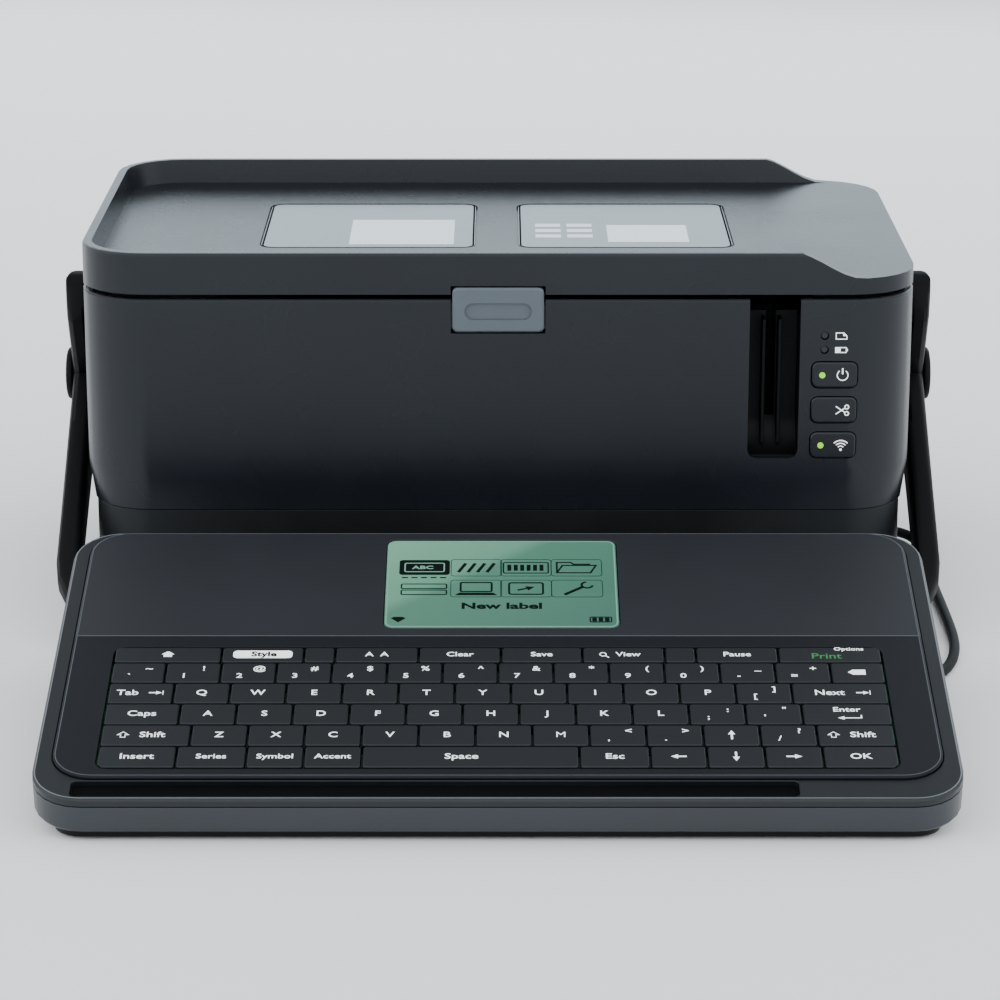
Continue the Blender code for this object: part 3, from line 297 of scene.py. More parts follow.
MATERIALS = {
    "body": plastic("body_black", (0.0068, 0.0080, 0.0116), (0.25, 0.29), 3400, 0.22, 0.12,
                    specular=0.32),
    "base": plastic("base_black", (0.0040, 0.0045, 0.0055), (0.42, 0.54), 1700, 0.5, 0.2,
                    specular=0.3),
    # Painted shade: the tape exit guide inside the slot is made near black and dull, standing in for the
    # shade in the slot.
    "guide": plastic("guide_shade_black", (0.0016, 0.0016, 0.0018), (0.42, 0.52), 1700, 0.3,
                     specular=0.14),
    # Painted light and shade: the faceplate is lighter and shinier above the divider line than below it,
    # as if its upper part faced the light more.
    "face": lit_and_shaded_plastic("faceplate_black", UP, KB.translation.dot(UP) + DIVIDE_U,
                            ((0.0045, 0.0053, 0.0075), 0.22), ((0.0080, 0.0090, 0.0130), 0.45),
                            (0.44, 0.50), 4200, 0.08),
    # Painted shade: below the flange, on the belly, the case is made near black and dull, standing in for
    # the shadow under the flange.
    "frame": lit_and_shaded_plastic("frame_black", OUT, KB.translation.dot(OUT) + FLANGE_BOTTOM_W,
                             ((0.0020, 0.0020, 0.0022), 0.15), ((0.0085, 0.0110, 0.0150), 0.66),
                             (0.30, 0.36), 3200, 0.2),
    "rim": plastic("rim_black", (0.0055, 0.0068, 0.0090), (0.30, 0.36), 3200, 0.2, 0.12,
                   specular=0.42),
    "handle": plastic("handle_black", (0.0018, 0.0019, 0.0022), (0.50, 0.60), 2200, 0.25, 0.2,
                      specular=0.12),
    "latch": plastic("latch_grey", (0.080, 0.098, 0.116), (0.36, 0.44), 3200, 0.12),
    "panel": plastic("panel_gloss", (0.105, 0.128, 0.148), (0.10, 0.13), 600, 0.02, 0.04,
                     specular=0.45),
    "key": plastic("key_black", (0.0060, 0.0070, 0.0092), (0.44, 0.52), 4200, 0.16, 0.1,
                   specular=0.36),
    "button": plastic("button_black", (0.0052, 0.0064, 0.0090), (0.24, 0.30), 3400, 0.12, 0.1,
                      specular=0.36),
    # Painted shade for the floor of the gap in front of the faceplate.
    "groove": plastic("gap_painted_shade", (0.0010, 0.0010, 0.0012), (0.6, 0.7), 2000, 0.1, specular=0.08),
    "smoke": plastic("lamp_smoke", (0.003, 0.003, 0.004), (0.12, 0.18), 800, 0.02),
    "rubber": plastic("rubber_black", (0.0040, 0.0040, 0.0042), (0.75, 0.9), 1200, 0.35),
    "cable": plastic("cable_black", (0.0022, 0.0024, 0.0030), (0.50, 0.60), 1600, 0.1,
                     specular=0.12),
    "gear": plastic("gear_white", (0.62, 0.61, 0.57), (0.42, 0.52), 1800, 0.1, 0.04),
    "cell": plastic("battery_grey", (0.11, 0.12, 0.13), (0.45, 0.55), 1800, 0.2),
    "steel": brushed_steel("steel", (0.55, 0.56, 0.58), 0.34),
    "blade": brushed_steel("blade_steel", (0.70, 0.71, 0.73), 0.22),
    "board": circuit_board("board_green"),
    "screen": screen_glass("screen_green"),
    # ink_white and ink_green glow by themselves: a painted glow that makes the printed legends and icons
    # read brighter than the lamps alone make them.
    "white": ink("ink_white", (0.94, 0.95, 0.96), 0.6),
    "green": ink("ink_green", (0.020, 0.190, 0.050), 0.1),
    "light": ink("light_green", (0.24, 0.66, 0.010), 0.7, 0.3),
    "dark": ink("screen_dark", (0.002, 0.006, 0.005), specular=0.08),
    "bright": ink("screen_bright", (0.16, 0.33, 0.25), 0.1),
    # panel_print also glows a little: a painted glow that brightens the lid panels' print.
    "pale": ink("panel_print", (0.70, 0.76, 0.82), 0.12, 0.12),
    "outline": ink("panel_outline", (0.010, 0.012, 0.016), rough=0.9, specular=0.0),
    "shine": ink("rim_shine", (0.15, 0.17, 0.19), rough=0.3),
    # A light colour for painted highlights along edges.
    "edge": ink("edge_highlight", (0.065, 0.078, 0.095), rough=0.35),
}

# Each CAD node's material, and how wide its edges are rounded, in millimetres
FINISH = (
    ("body", 0.5, "body_shell top_lid rear_port_panel"),
    ("base", 0.5, "base_shell deck_frame battery_cover power_socket lid_latch_hook"),
    ("guide", 0.2, "tape_exit_guide"),
    ("face", 0.25, "keyboard_faceplate"),
    ("frame", 0.5, "keyboard_bottom_case left_tilt_leg right_tilt_leg"),
    ("rim", 0.25, "keyboard_top_case"),
    ("handle", 0.9, "handle_bail left_pivot_cap right_pivot_cap"),
    ("latch", 0.35, "release_button"),
    ("panel", 0.15, "left_lid_panel right_lid_panel"),
    ("key", 0.15, "bottom_row_keys lower_row_keys home_row_keys upper_row_keys number_row_keys "
                  "function_row_keys space_key"),
    ("button", 0.35, "power_button cut_button wireless_button"),
    ("screen", 0.2, "display_window"),
    ("smoke", 0.1, "indicator_light_pipe"),
    ("rubber", 0.4, "front_base_foot rear_base_foot handle_grip platen_roller keyboard_front_foot"),
    ("cable", 0.3, "printer_cable_gland keyboard_cable_gland keyboard_cable"),
    ("steel", 0.15, "mechanism_chassis head_bracket feed_motor usb_socket hinge_rail hinge_rod "
                    "left_pivot_pin right_pivot_pin"),
    ("blade", 0.1, "cutter_blade"),
    ("board", 0.1, "main_board button_board keyboard_board"),
    ("gear", 0.1, "print_head motor_pinion idler_gear roller_gear ribbon_spindle"),
    ("cell", 0.4, "battery_pack display_module"),
)


def finish_node(node, finish, width):
    """Gives a CAD node its material and softens its edges by modifiers, so that its own points stay."""
    node.data.materials.clear()
    node.data.materials.append(finish)
    weld = node.modifiers.new("weld", "WELD")
    weld.merge_threshold = WELD_WITHIN
    flatten = node.modifiers.new("flatten", "DECIMATE")
    flatten.decimate_type = "DISSOLVE"
    flatten.angle_limit = FLAT_WITHIN
    soften = node.modifiers.new("soften", "BEVEL")
    soften.width = width * MM
    soften.segments = 2
    soften.limit_method = "ANGLE"
    soften.angle_limit = EDGE_OVER
    soften.use_clamp_overlap = True
    level = node.modifiers.new("level", "WEIGHTED_NORMAL")
    level.mode = "FACE_AREA"
    level.weight = 90
    level.keep_sharp = True
    node.data.polygons.foreach_set("use_smooth", [True] * len(node.data.polygons))


def finish_nodes():
    for key, width, names in FINISH:
        for name in names.split():
            finish_node(NODES[name], MATERIALS[key], width)


# ---------------------------------------------------------------- printed marks

def circle(x, y, radius, sides):
    turn = 2 * math.pi / sides
    return [(x + radius * math.cos(turn * i), y + radius * math.sin(turn * i)) for i in range(sides)]


class Marks:
    """Gathers thin printed shapes drawn in one plane, and makes one piece of them."""

    def __init__(self, space):
        self.space = space
        self.work = bmesh.new()

    def polygon(self, points, thick=INK_THICK):
        low = [self.work.verts.new(self.space @ Vector((x, y, INK_LIFT))) for x, y in points]
        high = [self.work.verts.new(self.space @ Vector((x, y, INK_LIFT + thick))) for x, y in points]
        n = len(points)
        self.work.faces.new(list(reversed(low)))
        self.work.faces.new(high)
        for i in range(n):
            j = (i + 1) % n
            self.work.faces.new((low[i], low[j], high[j], high[i]))

    def bar(self, x0, x1, y0, y1):
        self.polygon([(x0, y0), (x1, y0), (x1, y1), (x0, y1)])

    def line(self, points, width, closed=False):
        """A drawn line with mitred corners: one strip if it is open, and one piece a side if closed."""
        path = [Vector((x, y)) for x, y in points]
        n = len(path)
        left, right = [], []
        for i, p in enumerate(path):
            a = path[(i - 1) % n] if closed or i else p
            b = path[(i + 1) % n] if closed or i < n - 1 else p
            before = (p - a).normalized() if (p - a).length else (b - p).normalized()
            after = (b - p).normalized() if (b - p).length else before
            side = Vector((-(before + after).y, (before + after).x))
            side = side.normalized() if side.length > 1e-9 else Vector((-before.y, before.x))
            across = Vector((-before.y, before.x))
            reach = width / 2 / max(side.dot(across), 0.4)
            left.append(p + side * reach)
            right.append(p - side * reach)
        if not closed:
            self.polygon([tuple(q) for q in right + left[::-1]])
            return
        for i in range(n):
            j = (i + 1) % n
            self.polygon([tuple(q) for q in (right[i], right[j], left[j], left[i])])

    def ring(self, x, y, radius, width, sides):
        self.line(circle(x, y, radius, sides), width, closed=True)

    def disc(self, x, y, radius, sides, thick=INK_THICK):
        self.polygon(circle(x, y, radius, sides), thick)

    def box_line(self, x0, x1, y0, y1, radius, width, steps=2):
        self.line(round_corners(x0, x1, y0, y1, radius, steps), width, closed=True)

    def arc(self, x, y, radius, start, end, width, steps=10):
        angles = [math.radians(start + (end - start) * i / steps) for i in range(steps + 1)]
        self.line([(x + radius * math.cos(a), y + radius * math.sin(a)) for a in angles], width)

    def text(self, words, size, x, y, stretch=1.14, weight=0.012):
        """Words in the plain font, thickened a little, apart from an M, which thickening spoils."""
        curve = bpy.data.curves.new("words", "FONT")
        curve.body = words
        curve.size = size
        curve.align_x = "CENTER"
        curve.align_y = "CENTER"
        curve.offset = 0.0 if "M" in words else size * weight
        curve.extrude = INK_THICK / 2
        curve.resolution_u = 3
        item = bpy.data.objects.new("words", curve)
        bpy.context.scene.collection.objects.link(item)
        mesh = bpy.data.meshes.new_from_object(item.evaluated_get(bpy.context.evaluated_depsgraph_get()))
        place = Matrix.Translation((x, y, INK_LIFT + INK_THICK / 2)) @ Matrix.Diagonal((stretch, 1, 1, 1))
        mesh.transform(self.space @ place)
        self.work.from_mesh(mesh)
        bpy.data.objects.remove(item)
        bpy.data.curves.remove(curve)
        bpy.data.meshes.remove(mesh)

    def make(self, name, body, finish):
        bmesh.ops.remove_doubles(self.work, verts=self.work.verts, dist=1e-7)
        bmesh.ops.recalc_face_normals(self.work, faces=self.work.faces)
        mesh = bpy.data.meshes.new(name)
        self.work.to_mesh(mesh)
        self.work.free()
        mesh.materials.append(MATERIALS[finish])
        made = bpy.data.objects.new(name, mesh)
        bpy.context.scene.collection.objects.link(made)
        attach(made, body)
        return made


def round_corners(x0, x1, y0, y1, radius, steps=6):
    outline = []
    for x, y, start in ((x1, y0, -90), (x1, y1, 0), (x0, y1, 90), (x0, y0, 180)):
        cx = x - math.copysign(radius, x - (x0 + x1) / 2)
        cy = y - math.copysign(radius, y - (y0 + y1) / 2)
        outline += [(cx + radius * math.cos(math.radians(start + 90 * i / steps)),
                     cy + radius * math.sin(math.radians(start + 90 * i / steps)))
                    for i in range(steps + 1)]
    return outline


# ---------------------------------------------------------------- key legends

ROWS = {
    "function_row": ((1.93, "home"), (1.48, "pill"), (0.56, ""), (1.5, "A  A"), (1.48, "Clear"),
                     (1.46, "Save"), (1.48, "glass"), (0.56, ""), (1.48, "Pause"), (1.86, "")),
    "number_row": ((0.975, ("`", "~")), *((1.0, tuple(c)) for c in (
        "1!", "2@", "3#", "4$", "5%", "6^", "7&", "8*", "9(", "0)", "-_", "=+")), (0.975, "erase")),
    "upper_row": ((1.17, "Tab"), *((1.0, c) for c in "QWERTYUIOP"), (1.0, ("[", "]")), (1.71, "next")),
    "home_row": ((1.33, "Caps"), *((1.0, c) for c in "ASDFGHJKL"), (1.0, (";", ":")), (1.0, ("'", "\"")),
                 (1.58, "enter")),
    "lower_row": ((1.58, "shift"), *((1.0, c) for c in "ZXCVBNM"), (1.0, (",", "<")), (1.0, (".", ">")),
                  (1.0, "up"), (1.0, ("/", "?")), (1.37, "shift")),
    "bottom_row": ((1.36, "Insert"), (1.21, "Series"), (0.99, "Symbol"), (1.0, "Accent"), (3.75, ""),
                   (1.22, "Esc"), (0.98, "left"), (1.0, "down"), (1.0, "right"), (1.3, "OK")),
}
LETTER = 4.3 * MM
SMALL = 3.9 * MM
WORD = 3.7 * MM
KEY_GAP = 0.8 * MM


def arrow(marks, x, u, degrees, size=2.6 * MM):
    """A solid arrow: shaft and head."""
    c, s = math.cos(math.radians(degrees)), math.sin(math.radians(degrees))

    def at(a, b):
        return (x + (a * c - b * s) * size, u + (a * s + b * c) * size)

    marks.polygon([at(-1, -0.13), at(0.1, -0.13), at(0.1, 0.13), at(-1, 0.13)])
    marks.polygon([at(0.1, -0.45), at(1, 0), at(0.1, 0.45)])


def home_icon(marks, x, u):
    s = 1.7 * MM
    marks.polygon([(x - 1.3 * s, u), (x + 1.3 * s, u), (x + 0.2 * s, u + s), (x - 0.2 * s, u + s)])
    marks.polygon([(x - 0.85 * s, u - 0.9 * s), (x + 0.85 * s, u - 0.9 * s), (x + 0.85 * s, u),
                   (x - 0.85 * s, u)])


def shift_icon(marks, x, u):
    s = 1.5 * MM
    marks.line([(x - 0.5 * s, u - s), (x + 0.5 * s, u - s), (x + 0.5 * s, u), (x + 1.2 * s, u),
                (x, u + 1.1 * s), (x - 1.2 * s, u), (x - 0.5 * s, u)], 0.3 * MM, closed=True)


def erase_icon(marks, x, u):
    s = 1.5 * MM
    marks.polygon([(x - 2.2 * s, u), (x - 1.1 * s, u - s), (x + 1.8 * s, u - s), (x + 1.8 * s, u + s),
                   (x - 1.1 * s, u + s)])


def enter_icon(marks, x, u):
    s = 1.4 * MM
    marks.polygon([(x + 2.8 * s, u + 1.2 * s), (x + 2.8 * s, u - 0.15 * s), (x - 1.4 * s, u - 0.15 * s),
                   (x - 1.4 * s, u + 0.15 * s), (x + 2.5 * s, u + 0.15 * s), (x + 2.5 * s, u + 1.2 * s)])
    marks.polygon([(x - 1.4 * s, u - 0.7 * s), (x - 1.4 * s, u + 0.7 * s), (x - 3 * s, u)])


def tab_icon(marks, x, u):
    arrow(marks, x, u, 0, 2.2 * MM)
    marks.bar(x + 2.4 * MM, x + 2.7 * MM, u - 1.2 * MM, u + 1.2 * MM)


def glass_icon(marks, x, u):
    marks.ring(x, u, 1.1 * MM, 0.35 * MM, 12)
    marks.line([(x + 0.8 * MM, u - 0.8 * MM), (x + 2.0 * MM, u - 2.0 * MM)], 0.45 * MM)


def key_legend(marks, legend, x, u, width):
    turns = {"right": 0, "up": 90, "left": 180, "down": 270}
    if isinstance(legend, tuple):
        marks.text(legend[0], SMALL, x - 3.0 * MM, u - 2.2 * MM)
        marks.text(legend[1], SMALL, x + 3.6 * MM, u + 2.2 * MM)
    elif legend in turns:
        arrow(marks, x, u, turns[legend])
    elif legend == "home":
        home_icon(marks, x, u)
    elif legend == "pill":
        half = 0.36 * width
        marks.polygon(round_corners(x - half, x + half, u - 2.3 * MM, u + 2.3 * MM, 1.6 * MM))
    elif legend == "glass":
        glass_icon(marks, x - 7.0 * MM, u)
        marks.text("View", WORD, x + 1.6 * MM, u)
    elif legend == "shift":
        shift_icon(marks, x - 7.5 * MM, u)
        marks.text("Shift", LETTER, x + 2.2 * MM, u)
    elif legend == "erase":
        erase_icon(marks, x, u)
    elif legend == "enter":
        marks.text("Enter", WORD, x, u + 2.3 * MM)
        enter_icon(marks, x + 1 * MM, u - 2.6 * MM)
    elif legend == "next":
        marks.text("Next", LETTER, x - 3.6 * MM, u)
        tab_icon(marks, x + 7.6 * MM, u)
    elif legend == "Tab":
        marks.text("Tab", LETTER, x - 4.4 * MM, u)
        tab_icon(marks, x + 5.0 * MM, u)
    elif len(legend) == 1:
        marks.text(legend, LETTER, x, u, stretch=1.1)
    elif legend:
        marks.text(legend, LETTER if legend in ("Caps", "OK", "Esc", "Insert") else WORD, x, u)


def legends():
    for row, keys in ROWS.items():
        low, high = local_box(row + "_keys", KB)
        top = KB @ Matrix.Translation((0, 0, high.z))
        marks = Marks(top)
        pitch = (high.x - low.x + KEY_GAP) / sum(width for width, _ in keys)
        x = low.x - KEY_GAP / 2
        u = (low.y + high.y) / 2
        for width, legend in keys:
            key_legend(marks, legend, x + width * pitch / 2, u, width * pitch)
            x += width * pitch
        if row == "function_row":
            marks.text("Options", SMALL * 0.7, x - 0.58 * pitch, u + 3.3 * MM)
        marks.make(row + "_legends", row, "white")
        if row == "function_row":
            caption = Marks(top @ Matrix.Translation((0, 0, 2 * INK_LIFT)))
            caption.text("Style", WORD * 1.08, low.x + 2.67 * pitch, u, weight=0.03)
            caption.make("style_key_legend", row, "dark")
            green = Marks(top)
            green.text("Print", LETTER * 1.1, x - 1.0 * pitch, u - 1.2 * MM)
            green.make("print_key_legend", row, "green")
    low, high = local_box("space_key", KB)
    marks = Marks(KB @ Matrix.Translation((0, 0, high.z)))
    marks.text("Space", LETTER, (low.x + high.x) / 2 - 3 * MM, (low.y + high.y) / 2)
    marks.make("space_key_legend", "space", "white")


# ---------------------------------------------------------------- display

THIN = 0.5 * MM
ICON_HALF_W = 9 * MM
ICON_HALF_H = 5.6 * MM
ICON_CORNER = 1.2 * MM


def label_icon(marks, x, y):
    marks.polygon(round_corners(x - ICON_HALF_W, x + ICON_HALF_W, y - 4.8 * MM, y + 5.2 * MM,
                                ICON_CORNER, 3))
    for i in range(5):
        dash = x + (3.4 * i - 8) * MM
        marks.bar(dash, dash + 2.2 * MM, y - 7.0 * MM, y - 6.3 * MM)


def slashes_icon(marks, x, y):
    for i in range(4):
        foot = x + (3.4 * i - 6.4) * MM
        marks.line([(foot, y - 3.0 * MM), (foot + 2.6 * MM, y + 3.0 * MM)], 1.2 * MM)


def barcode_icon(marks, x, y):
    marks.box_line(x - 8 * MM, x + 8 * MM, y - 3.6 * MM, y + 3.6 * MM, 0.6 * MM, THIN)
    for i in range(6):
        left = x + (2.3 * i - 6.6) * MM
        marks.bar(left, left + 1.4 * MM, y - 2.0 * MM, y + 2.0 * MM)


def folder_icon(marks, x, y):
    marks.line([(x - 7 * MM, y - 3.4 * MM), (x + 5 * MM, y - 3.4 * MM), (x + 7 * MM, y + 1.6 * MM),
                (x - 5 * MM, y + 1.6 * MM)], 1.3 * THIN, closed=True)
    marks.line([(x - 7 * MM, y - 3.0 * MM), (x - 7 * MM, y + 3.6 * MM), (x - 2 * MM, y + 3.6 * MM),
                (x - 1 * MM, y + 2.4 * MM), (x + 5 * MM, y + 2.4 * MM)], 1.3 * THIN)


def rows_icon(marks, x, y):
    for dy in (-2.4, 1.6):
        marks.box_line(x - 8 * MM, x + 8 * MM, y + (dy - 1.6) * MM, y + (dy + 1.4) * MM, 0.5 * MM, THIN)


def computer_icon(marks, x, y):
    marks.box_line(x - 5.5 * MM, x + 5.5 * MM, y - 2.0 * MM, y + 4.0 * MM, 0.5 * MM, 1.4 * THIN)
    marks.polygon([(x - 7.5 * MM, y - 4.4 * MM), (x + 7.5 * MM, y - 4.4 * MM), (x + 6 * MM, y - 2.8 * MM),
                   (x - 6 * MM, y - 2.8 * MM)])


def send_icon(marks, x, y):
    marks.box_line(x - 6 * MM, x + 6 * MM, y - 3.8 * MM, y + 3.8 * MM, 0.8 * MM, 1.4 * THIN)
    arrow(marks, x, y, 20, 3.2 * MM)


def wrench_icon(marks, x, y):
    marks.line([(x - 4.5 * MM, y - 4 * MM), (x + 2.4 * MM, y + 1.4 * MM)], 1.3 * MM)
    marks.arc(x + 3.6 * MM, y + 2.4 * MM, 2.0 * MM, 100, 350, 0.8 * MM)


def signal_icon(marks, x, y):
    marks.polygon([(x, y - 1.8 * MM), (x + 2.6 * MM, y + 0.9 * MM), (x + 1.4 * MM, y + 1.7 * MM),
                   (x - 1.4 * MM, y + 1.7 * MM), (x - 2.6 * MM, y + 0.9 * MM)])


def battery_icon(marks, x, y):
    marks.box_line(x - 4 * MM, x + 3.4 * MM, y - 1.6 * MM, y + 1.6 * MM, 0.4 * MM, 0.45 * MM)
    for i in range(3):
        left = x + (2.2 * i - 3.3) * MM
        marks.bar(left, left + 1.6 * MM, y - 1.2 * MM, y + 1.2 * MM)


ICON_COLUMNS = (0.165, 0.39, 0.605, 0.825)
ICON_ROWS = ((0.68, (label_icon, slashes_icon, barcode_icon, folder_icon)),
             (0.44, (rows_icon, computer_icon, send_icon, wrench_icon)))


def display_marks():
    low, high = local_box("display_window", KB)
    glass = KB @ Matrix.Translation((0, 0, high.z))

    def at(a, b):
        return (low.x + a * (high.x - low.x), low.y + b * (high.y - low.y))

    bright = Marks(glass @ Matrix.Translation((0, 0, 2 * INK_LIFT)))
    x, y = at(ICON_COLUMNS[0], ICON_ROWS[0][0])
    bright.box_line(x - 7 * MM, x + 7 * MM, y - 2.8 * MM, y + 3.0 * MM, 0.6 * MM, 0.5 * MM)
    bright.text("ABC", 3.0 * MM, x - 0.6 * MM, y, stretch=1.3, weight=0.03)
    bright.make("display_bright_marks", "keyboard", "bright")
    marks = Marks(glass)
    for b, icons in ICON_ROWS:
        for a, icon in zip(ICON_COLUMNS, icons):
            x, y = at(a, b)
            icon(marks, x, y)
            if a > ICON_COLUMNS[0]:
                marks.box_line(x - ICON_HALF_W, x + ICON_HALF_W, y - ICON_HALF_H, y + ICON_HALF_H,
                               ICON_CORNER, 0.2 * MM, 3)
    marks.text("New label", 5.4 * MM, *at(0.5, 0.24), stretch=1.3, weight=0.03)
    signal_icon(marks, *at(0.06, 0.09))
    battery_icon(marks, *at(0.925, 0.09))
    marks.make("display_picture", "keyboard", "dark")
    bezel = Marks(glass)
    inset = 0.7 * MM
    bezel.box_line(low.x + inset, high.x - inset, low.y + inset, high.y - inset, 2.6 * MM, 0.5 * MM, 6)
    bezel.make("display_edge", "keyboard", "bright")


# ---------------------------------------------------------------- faceplate lines

EDGE_INSET = 0.9 * MM


def faceplate_highlight_lines():
    # Painted highlights: a light bar along the crease at the divider line, and a light line just inside
    # the raised faceplate's edge.
    low, high = local_box("keyboard_faceplate", KB)
    marks = Marks(KB)
    marks.bar(low.x + 0.6 * MM, high.x - 0.6 * MM, DIVIDE_U - 0.25 * MM, DIVIDE_U + 0.25 * MM)
    marks.box_line(low.x + EDGE_INSET, high.x - EDGE_INSET, low.y + EDGE_INSET, high.y - EDGE_INSET,
                   13 * MM, 0.35 * MM, 10)
    marks.make("faceplate_highlight_lines", "keyboard", "edge")


def rim_highlight_line():
    # Painted highlight: a thin light line just inside the top case's top edge, standing in for the light
    # that edge catches.
    low, high = local_box("keyboard_top_case", KB)
    marks = Marks(KB @ Matrix.Translation((0, 0, high.z)))
    marks.box_line(low.x + EDGE_INSET, high.x - EDGE_INSET, low.y + EDGE_INSET, high.y - EDGE_INSET,
                   16 * MM, 0.4 * MM, 10)
    marks.make("rim_highlight_line", "keyboard", "shine")


def groove_shade_strip():
    """Painted shade: a black, dull sheet laid on the floor of the gap in front of the faceplate."""
    marks = Marks(KB @ Matrix.Translation((0, 0, GROOVE_W)))
    marks.polygon(round_corners(*GROOVE_X, *GROOVE_U, 1.2 * MM), thick=0.3 * MM)
    marks.make("groove_shade_strip", "keyboard", "groove")


# ---------------------------------------------------------------- front controls

def power_icon(marks, x, z):
    marks.arc(x, z, 2.0 * MM, 125, 415, 0.38 * MM, 20)
    marks.bar(x - 0.28 * MM, x + 0.28 * MM, z + 0.4 * MM, z + 2.7 * MM)


def scissors_icon(marks, x, z):
    for s in (-1, 1):
        marks.line([(x - 2.2 * MM, z + s * 1.5 * MM), (x + 1.3 * MM, z - s * 0.9 * MM)], 0.4 * MM)
        marks.ring(x + 1.9 * MM, z + s * 1.25 * MM, 0.75 * MM, 0.4 * MM, 10)


def wireless_icon(marks, x, z):
    foot = z - 1.7 * MM
    for radius in (1.4, 2.5, 3.6):
        marks.arc(x, foot, radius * MM, 45, 135, 0.42 * MM)
    marks.disc(x, foot, 0.5 * MM, 14)


BUTTONS = (                   # node, body, icon, whether it has a light
    ("power_button", "power", power_icon, True),
    ("cut_button", "cut", scissors_icon, False),
    ("wireless_button", "wireless", wireless_icon, True),
)
ICON_ALONG = 0.655            # places along a button, as parts of its width
LIGHT_ALONG = 0.26
LIGHT_THICK = 0.25 * MM


def button_icons():
    for name, body, icon, lit in BUTTONS:
        low, high = box(name)
        width = high.x - low.x
        z = (low.z + high.z) / 2
        marks = Marks(front_plane(low.y))
        icon(marks, low.x + ICON_ALONG * width, z)
        marks.make(name + "_icon", body, "white")
        if lit:
            light = Marks(front_plane(low.y))
            light.disc(low.x + LIGHT_ALONG * width, z, 1.15 * MM, 20, LIGHT_THICK)
            light.make(name + "_light", body, "light")


LAMP_LINE = 0.35 * MM


def tape_lamp_icon(marks, x, z):
    marks.line([(x - 2.0 * MM, z - 1.2 * MM), (x + 2.0 * MM, z - 1.2 * MM), (x + 2.0 * MM, z),
                (x + 0.8 * MM, z + 1.2 * MM), (x - 2.0 * MM, z + 1.2 * MM)], LAMP_LINE, closed=True)
    marks.polygon([(x + 0.6 * MM, z + 1.2 * MM), (x + 0.6 * MM, z), (x + 2.0 * MM, z)])


def battery_lamp_icon(marks, x, z):
    marks.line([(x - 2.1 * MM, z - 0.95 * MM), (x + 1.9 * MM, z - 0.95 * MM),
                (x + 1.9 * MM, z + 0.95 * MM), (x - 2.1 * MM, z + 0.95 * MM)], LAMP_LINE, closed=True)
    marks.bar(x - 1.9 * MM, x - 0.2 * MM, z - 0.75 * MM, z + 0.75 * MM)
    marks.bar(x + 2.1 * MM, x + 2.5 * MM, z - 0.45 * MM, z + 0.45 * MM)


def lamp_icons():
    low, high = box("indicator_light_pipe")
    x = (low.x + high.x) / 2 + 6.2 * MM
    marks = Marks(front_plane(FRONT_Y))
    tape_lamp_icon(marks, x, low.z + 7.4 * MM)
    battery_lamp_icon(marks, x, low.z + 2.0 * MM)
    marks.make("lamp_icons", "printer", "white")


# ---------------------------------------------------------------- lid panels

def panel_prints():
    marks = Marks(DECK)
    low, high = box("left_lid_panel")
    w, d = high.x - low.x, high.y - low.y
    marks.bar(low.x + 0.41 * w, low.x + 0.90 * w, low.y + 0.07 * d, low.y + 0.62 * d)
    low, high = box("right_lid_panel")
    marks.bar(low.x + 0.42 * w, low.x + 0.80 * w, low.y + 0.12 * d, low.y + 0.50 * d)
    for i in range(3):
        for j in range(2):
            x = low.x + (0.08 + 0.15 * j) * w
            y = low.y + (0.22 + 0.12 * i) * d
            marks.bar(x, x + 0.12 * w, y, y + 0.07 * d)
    marks.make("lid_panel_prints", "lid", "pale")
    outlines = Marks(DECK)
    for name in ("left_lid_panel", "right_lid_panel"):
        low, high = box(name)
        outlines.box_line(low.x + PANEL_EDGE, high.x - PANEL_EDGE,
                          low.y + PANEL_EDGE, high.y - PANEL_EDGE, PANEL_CORNER, 0.7 * MM, 6)
    outlines.make("lid_panel_outlines", "lid", "outline")


# ---------------------------------------------------------------- cable

CABLE_ROUTE = (               # X, Y from the printer's front, Z, in millimetres
    (158.1, 100.0, 9.5), (164.0, 99.9, 9.0), (169.3, 97.7, 7.4), (172.4, 92.2, 5.2),
    (173.4, 84.7, 3.4), (173.2, 75.7, 2.4), (172.9, 63.7, 2.1), (172.7, 43.7, 2.1),
    (172.9, 23.7, 2.1), (173.0, 5.0, 2.1), (172.8, -11.0, 2.1), (171.6, -26.0, 2.1),
    (168.8, -40.0, 2.1), (164.2, -51.6, 2.1), (158.0, -61.0, 3.2), (150.8, -67.0, 6.2),
    (144.4, -69.8, 10.6), (140.4, -71.2, 15.6), (139.0, -71.8, 20.6), (139.0, -72.1, 23.3),
)
CABLE_R = 2.0 * MM
CABLE_PARTS = 4               # smooth points for each point of the route


def smooth_route(points, parts):
    route = [Vector((x * MM, FRONT_Y + y * MM, z * MM)) for x, y, z in points]
    ends = [route[0] * 2 - route[1]] + route + [route[-1] * 2 - route[-2]]
    made = []
    for k in range(1, len(ends) - 2):
        a, b, c, d = ends[k - 1:k + 3]
        for i in range(parts):
            t = i / parts
            made.append(0.5 * ((2 * b) + (c - a) * t + (2 * a - 5 * b + 4 * c - d) * t * t
                               + (3 * b - 3 * c + d - a) * t ** 3))
    return made + [route[-1]]


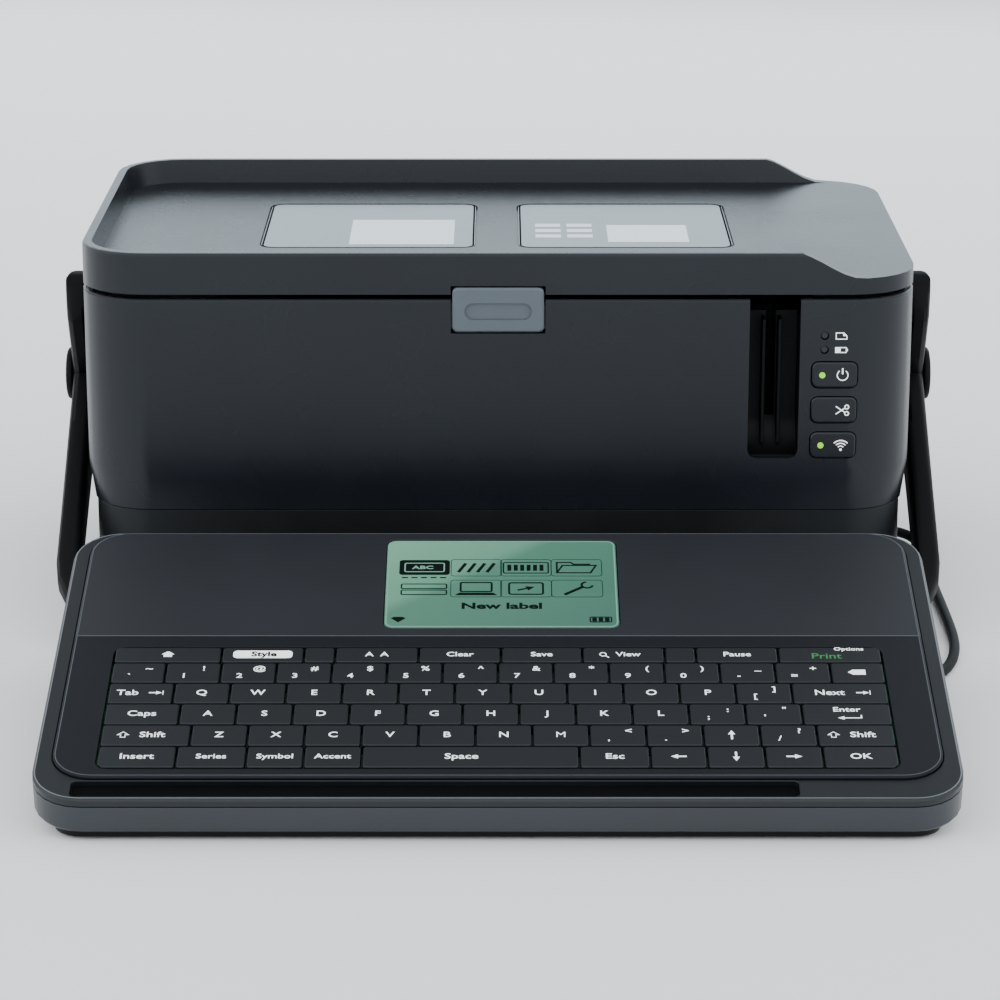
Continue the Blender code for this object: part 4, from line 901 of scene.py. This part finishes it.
def tube(name, path, radii, sides=16):
    """A closed tube whose section is carried along the path without twisting."""
    work = bmesh.new()
    last = len(path) - 1
    along = [(path[min(i + 1, last)] - path[max(i - 1, 0)]).normalized() for i in range(last + 1)]
    side = along[0].orthogonal().normalized()
    rings = []
    for p, t, r in zip(path, along, radii):
        side = (side - t * side.dot(t)).normalized()
        up = t.cross(side)
        rings.append([work.verts.new(p + (side * math.cos(a) + up * math.sin(a)) * r)
                      for a in (2 * math.pi * i / sides for i in range(sides))])
    for one, two in zip(rings, rings[1:]):
        for i in range(sides):
            j = (i + 1) % sides
            work.faces.new((one[i], one[j], two[j], two[i]))
    work.faces.new(rings[0][::-1])
    work.faces.new(rings[-1])
    bmesh.ops.recalc_face_normals(work, faces=work.faces)
    mesh = bpy.data.meshes.new(name)
    work.to_mesh(mesh)
    work.free()
    mesh.shade_smooth()
    made = bpy.data.objects.new(name, mesh)
    bpy.context.scene.collection.objects.link(made)
    return made


def cable():
    path = smooth_route(CABLE_ROUTE, CABLE_PARTS)
    cord = tube("cable", path, [CABLE_R] * len(path))
    cord.data.materials.append(MATERIALS["cable"])
    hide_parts("keyboard_cable")
    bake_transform(cord)


# ---------------------------------------------------------------- stage

BEHIND = (0, 0.8, 0.6)        # the direction in which the surrounding light is dimmest
DIMMING = (0.3, 0.9)          # it dims between these cosines of the angle to that direction
STRENGTH = (2.1, 0.6)         # from the first of these to the second
FLOOR_REACH = 6.0
FLOOR_DROP = 0.0002           # the floor lies this far below the feet
LIGHTS = (                    # name, place, aim, size, watts, colour
    ("left_light", (-1.5, -0.5, 0.9), (-0.1, 0.0, 0.08), (0.8, 1.2), 2, (0.9, 0.96, 1.0)),
    ("back_light", (0.2, 1.5, 0.62), (0, 0.1, 0.14), (2.8, 0.8), 11, (0.72, 0.88, 1.0)),
)


def soft_light(name, place, aim, size, power, colour):
    lamp = bpy.data.lights.new(name, "AREA")
    lamp.shape = "RECTANGLE"
    lamp.size, lamp.size_y = size
    lamp.energy = power
    lamp.color = colour
    item = bpy.data.objects.new(name, lamp)
    item.location = place
    item.rotation_euler = (Vector(aim) - Vector(place)).to_track_quat("-Z", "Y").to_euler()
    bpy.context.scene.collection.objects.link(item)


def studio():
    """Even light from all round, dimmer in the upper part behind the object."""
    world = bpy.data.worlds.new("studio")
    world.use_nodes = True
    nodes, links = world.node_tree.nodes, world.node_tree.links
    place = nodes.new("ShaderNodeTexCoord")
    behind = nodes.new("ShaderNodeVectorMath")
    behind.operation = "DOT_PRODUCT"
    behind.inputs[1].default_value = BEHIND
    links.new(place.outputs["Generated"], behind.inputs[0])
    level = nodes.new("ShaderNodeMapRange")
    level.inputs["From Min"].default_value, level.inputs["From Max"].default_value = DIMMING
    level.inputs["To Min"].default_value, level.inputs["To Max"].default_value = STRENGTH
    links.new(behind.outputs["Value"], level.inputs["Value"])
    links.new(level.outputs["Result"], nodes["Background"].inputs["Strength"])
    nodes["Background"].inputs["Color"].default_value = (0.95, 0.98, 1.0, 1)
    return world


def stage():
    work = bmesh.new()
    bmesh.ops.create_grid(work, x_segments=1, y_segments=1, size=FLOOR_REACH)
    mesh = bpy.data.meshes.new("floor")
    work.to_mesh(mesh)
    work.free()
    floor = bpy.data.objects.new("floor", mesh)
    floor.location.z = -FLOOR_DROP
    made, nodes, links = new_material("floor_white")
    nodes["Principled BSDF"].inputs["Base Color"].default_value = (0.95, 0.95, 0.95, 1)
    nodes["Principled BSDF"].inputs["Roughness"].default_value = 0.8
    mesh.materials.append(made)
    bpy.context.scene.collection.objects.link(floor)
    bpy.context.scene.world = studio()
    for light in LIGHTS:
        soft_light(*light)


def camera():
    view = bpy.data.cameras.new("camera")
    view.lens = CAMERA_LENS
    view.sensor_width = 36.0
    view.clip_end = 50.0
    item = bpy.data.objects.new("camera", view)
    item.location = CAMERA_AT
    item.rotation_euler = (math.radians(90) - CAMERA_PITCH, 0, 0)
    bpy.context.scene.collection.objects.link(item)
    bpy.context.scene.camera = item


camera()
cable()
finish_nodes()
legends()
display_marks()
faceplate_highlight_lines()
rim_highlight_line()
groove_shade_strip()
button_icons()
lamp_icons()
panel_prints()
stage()
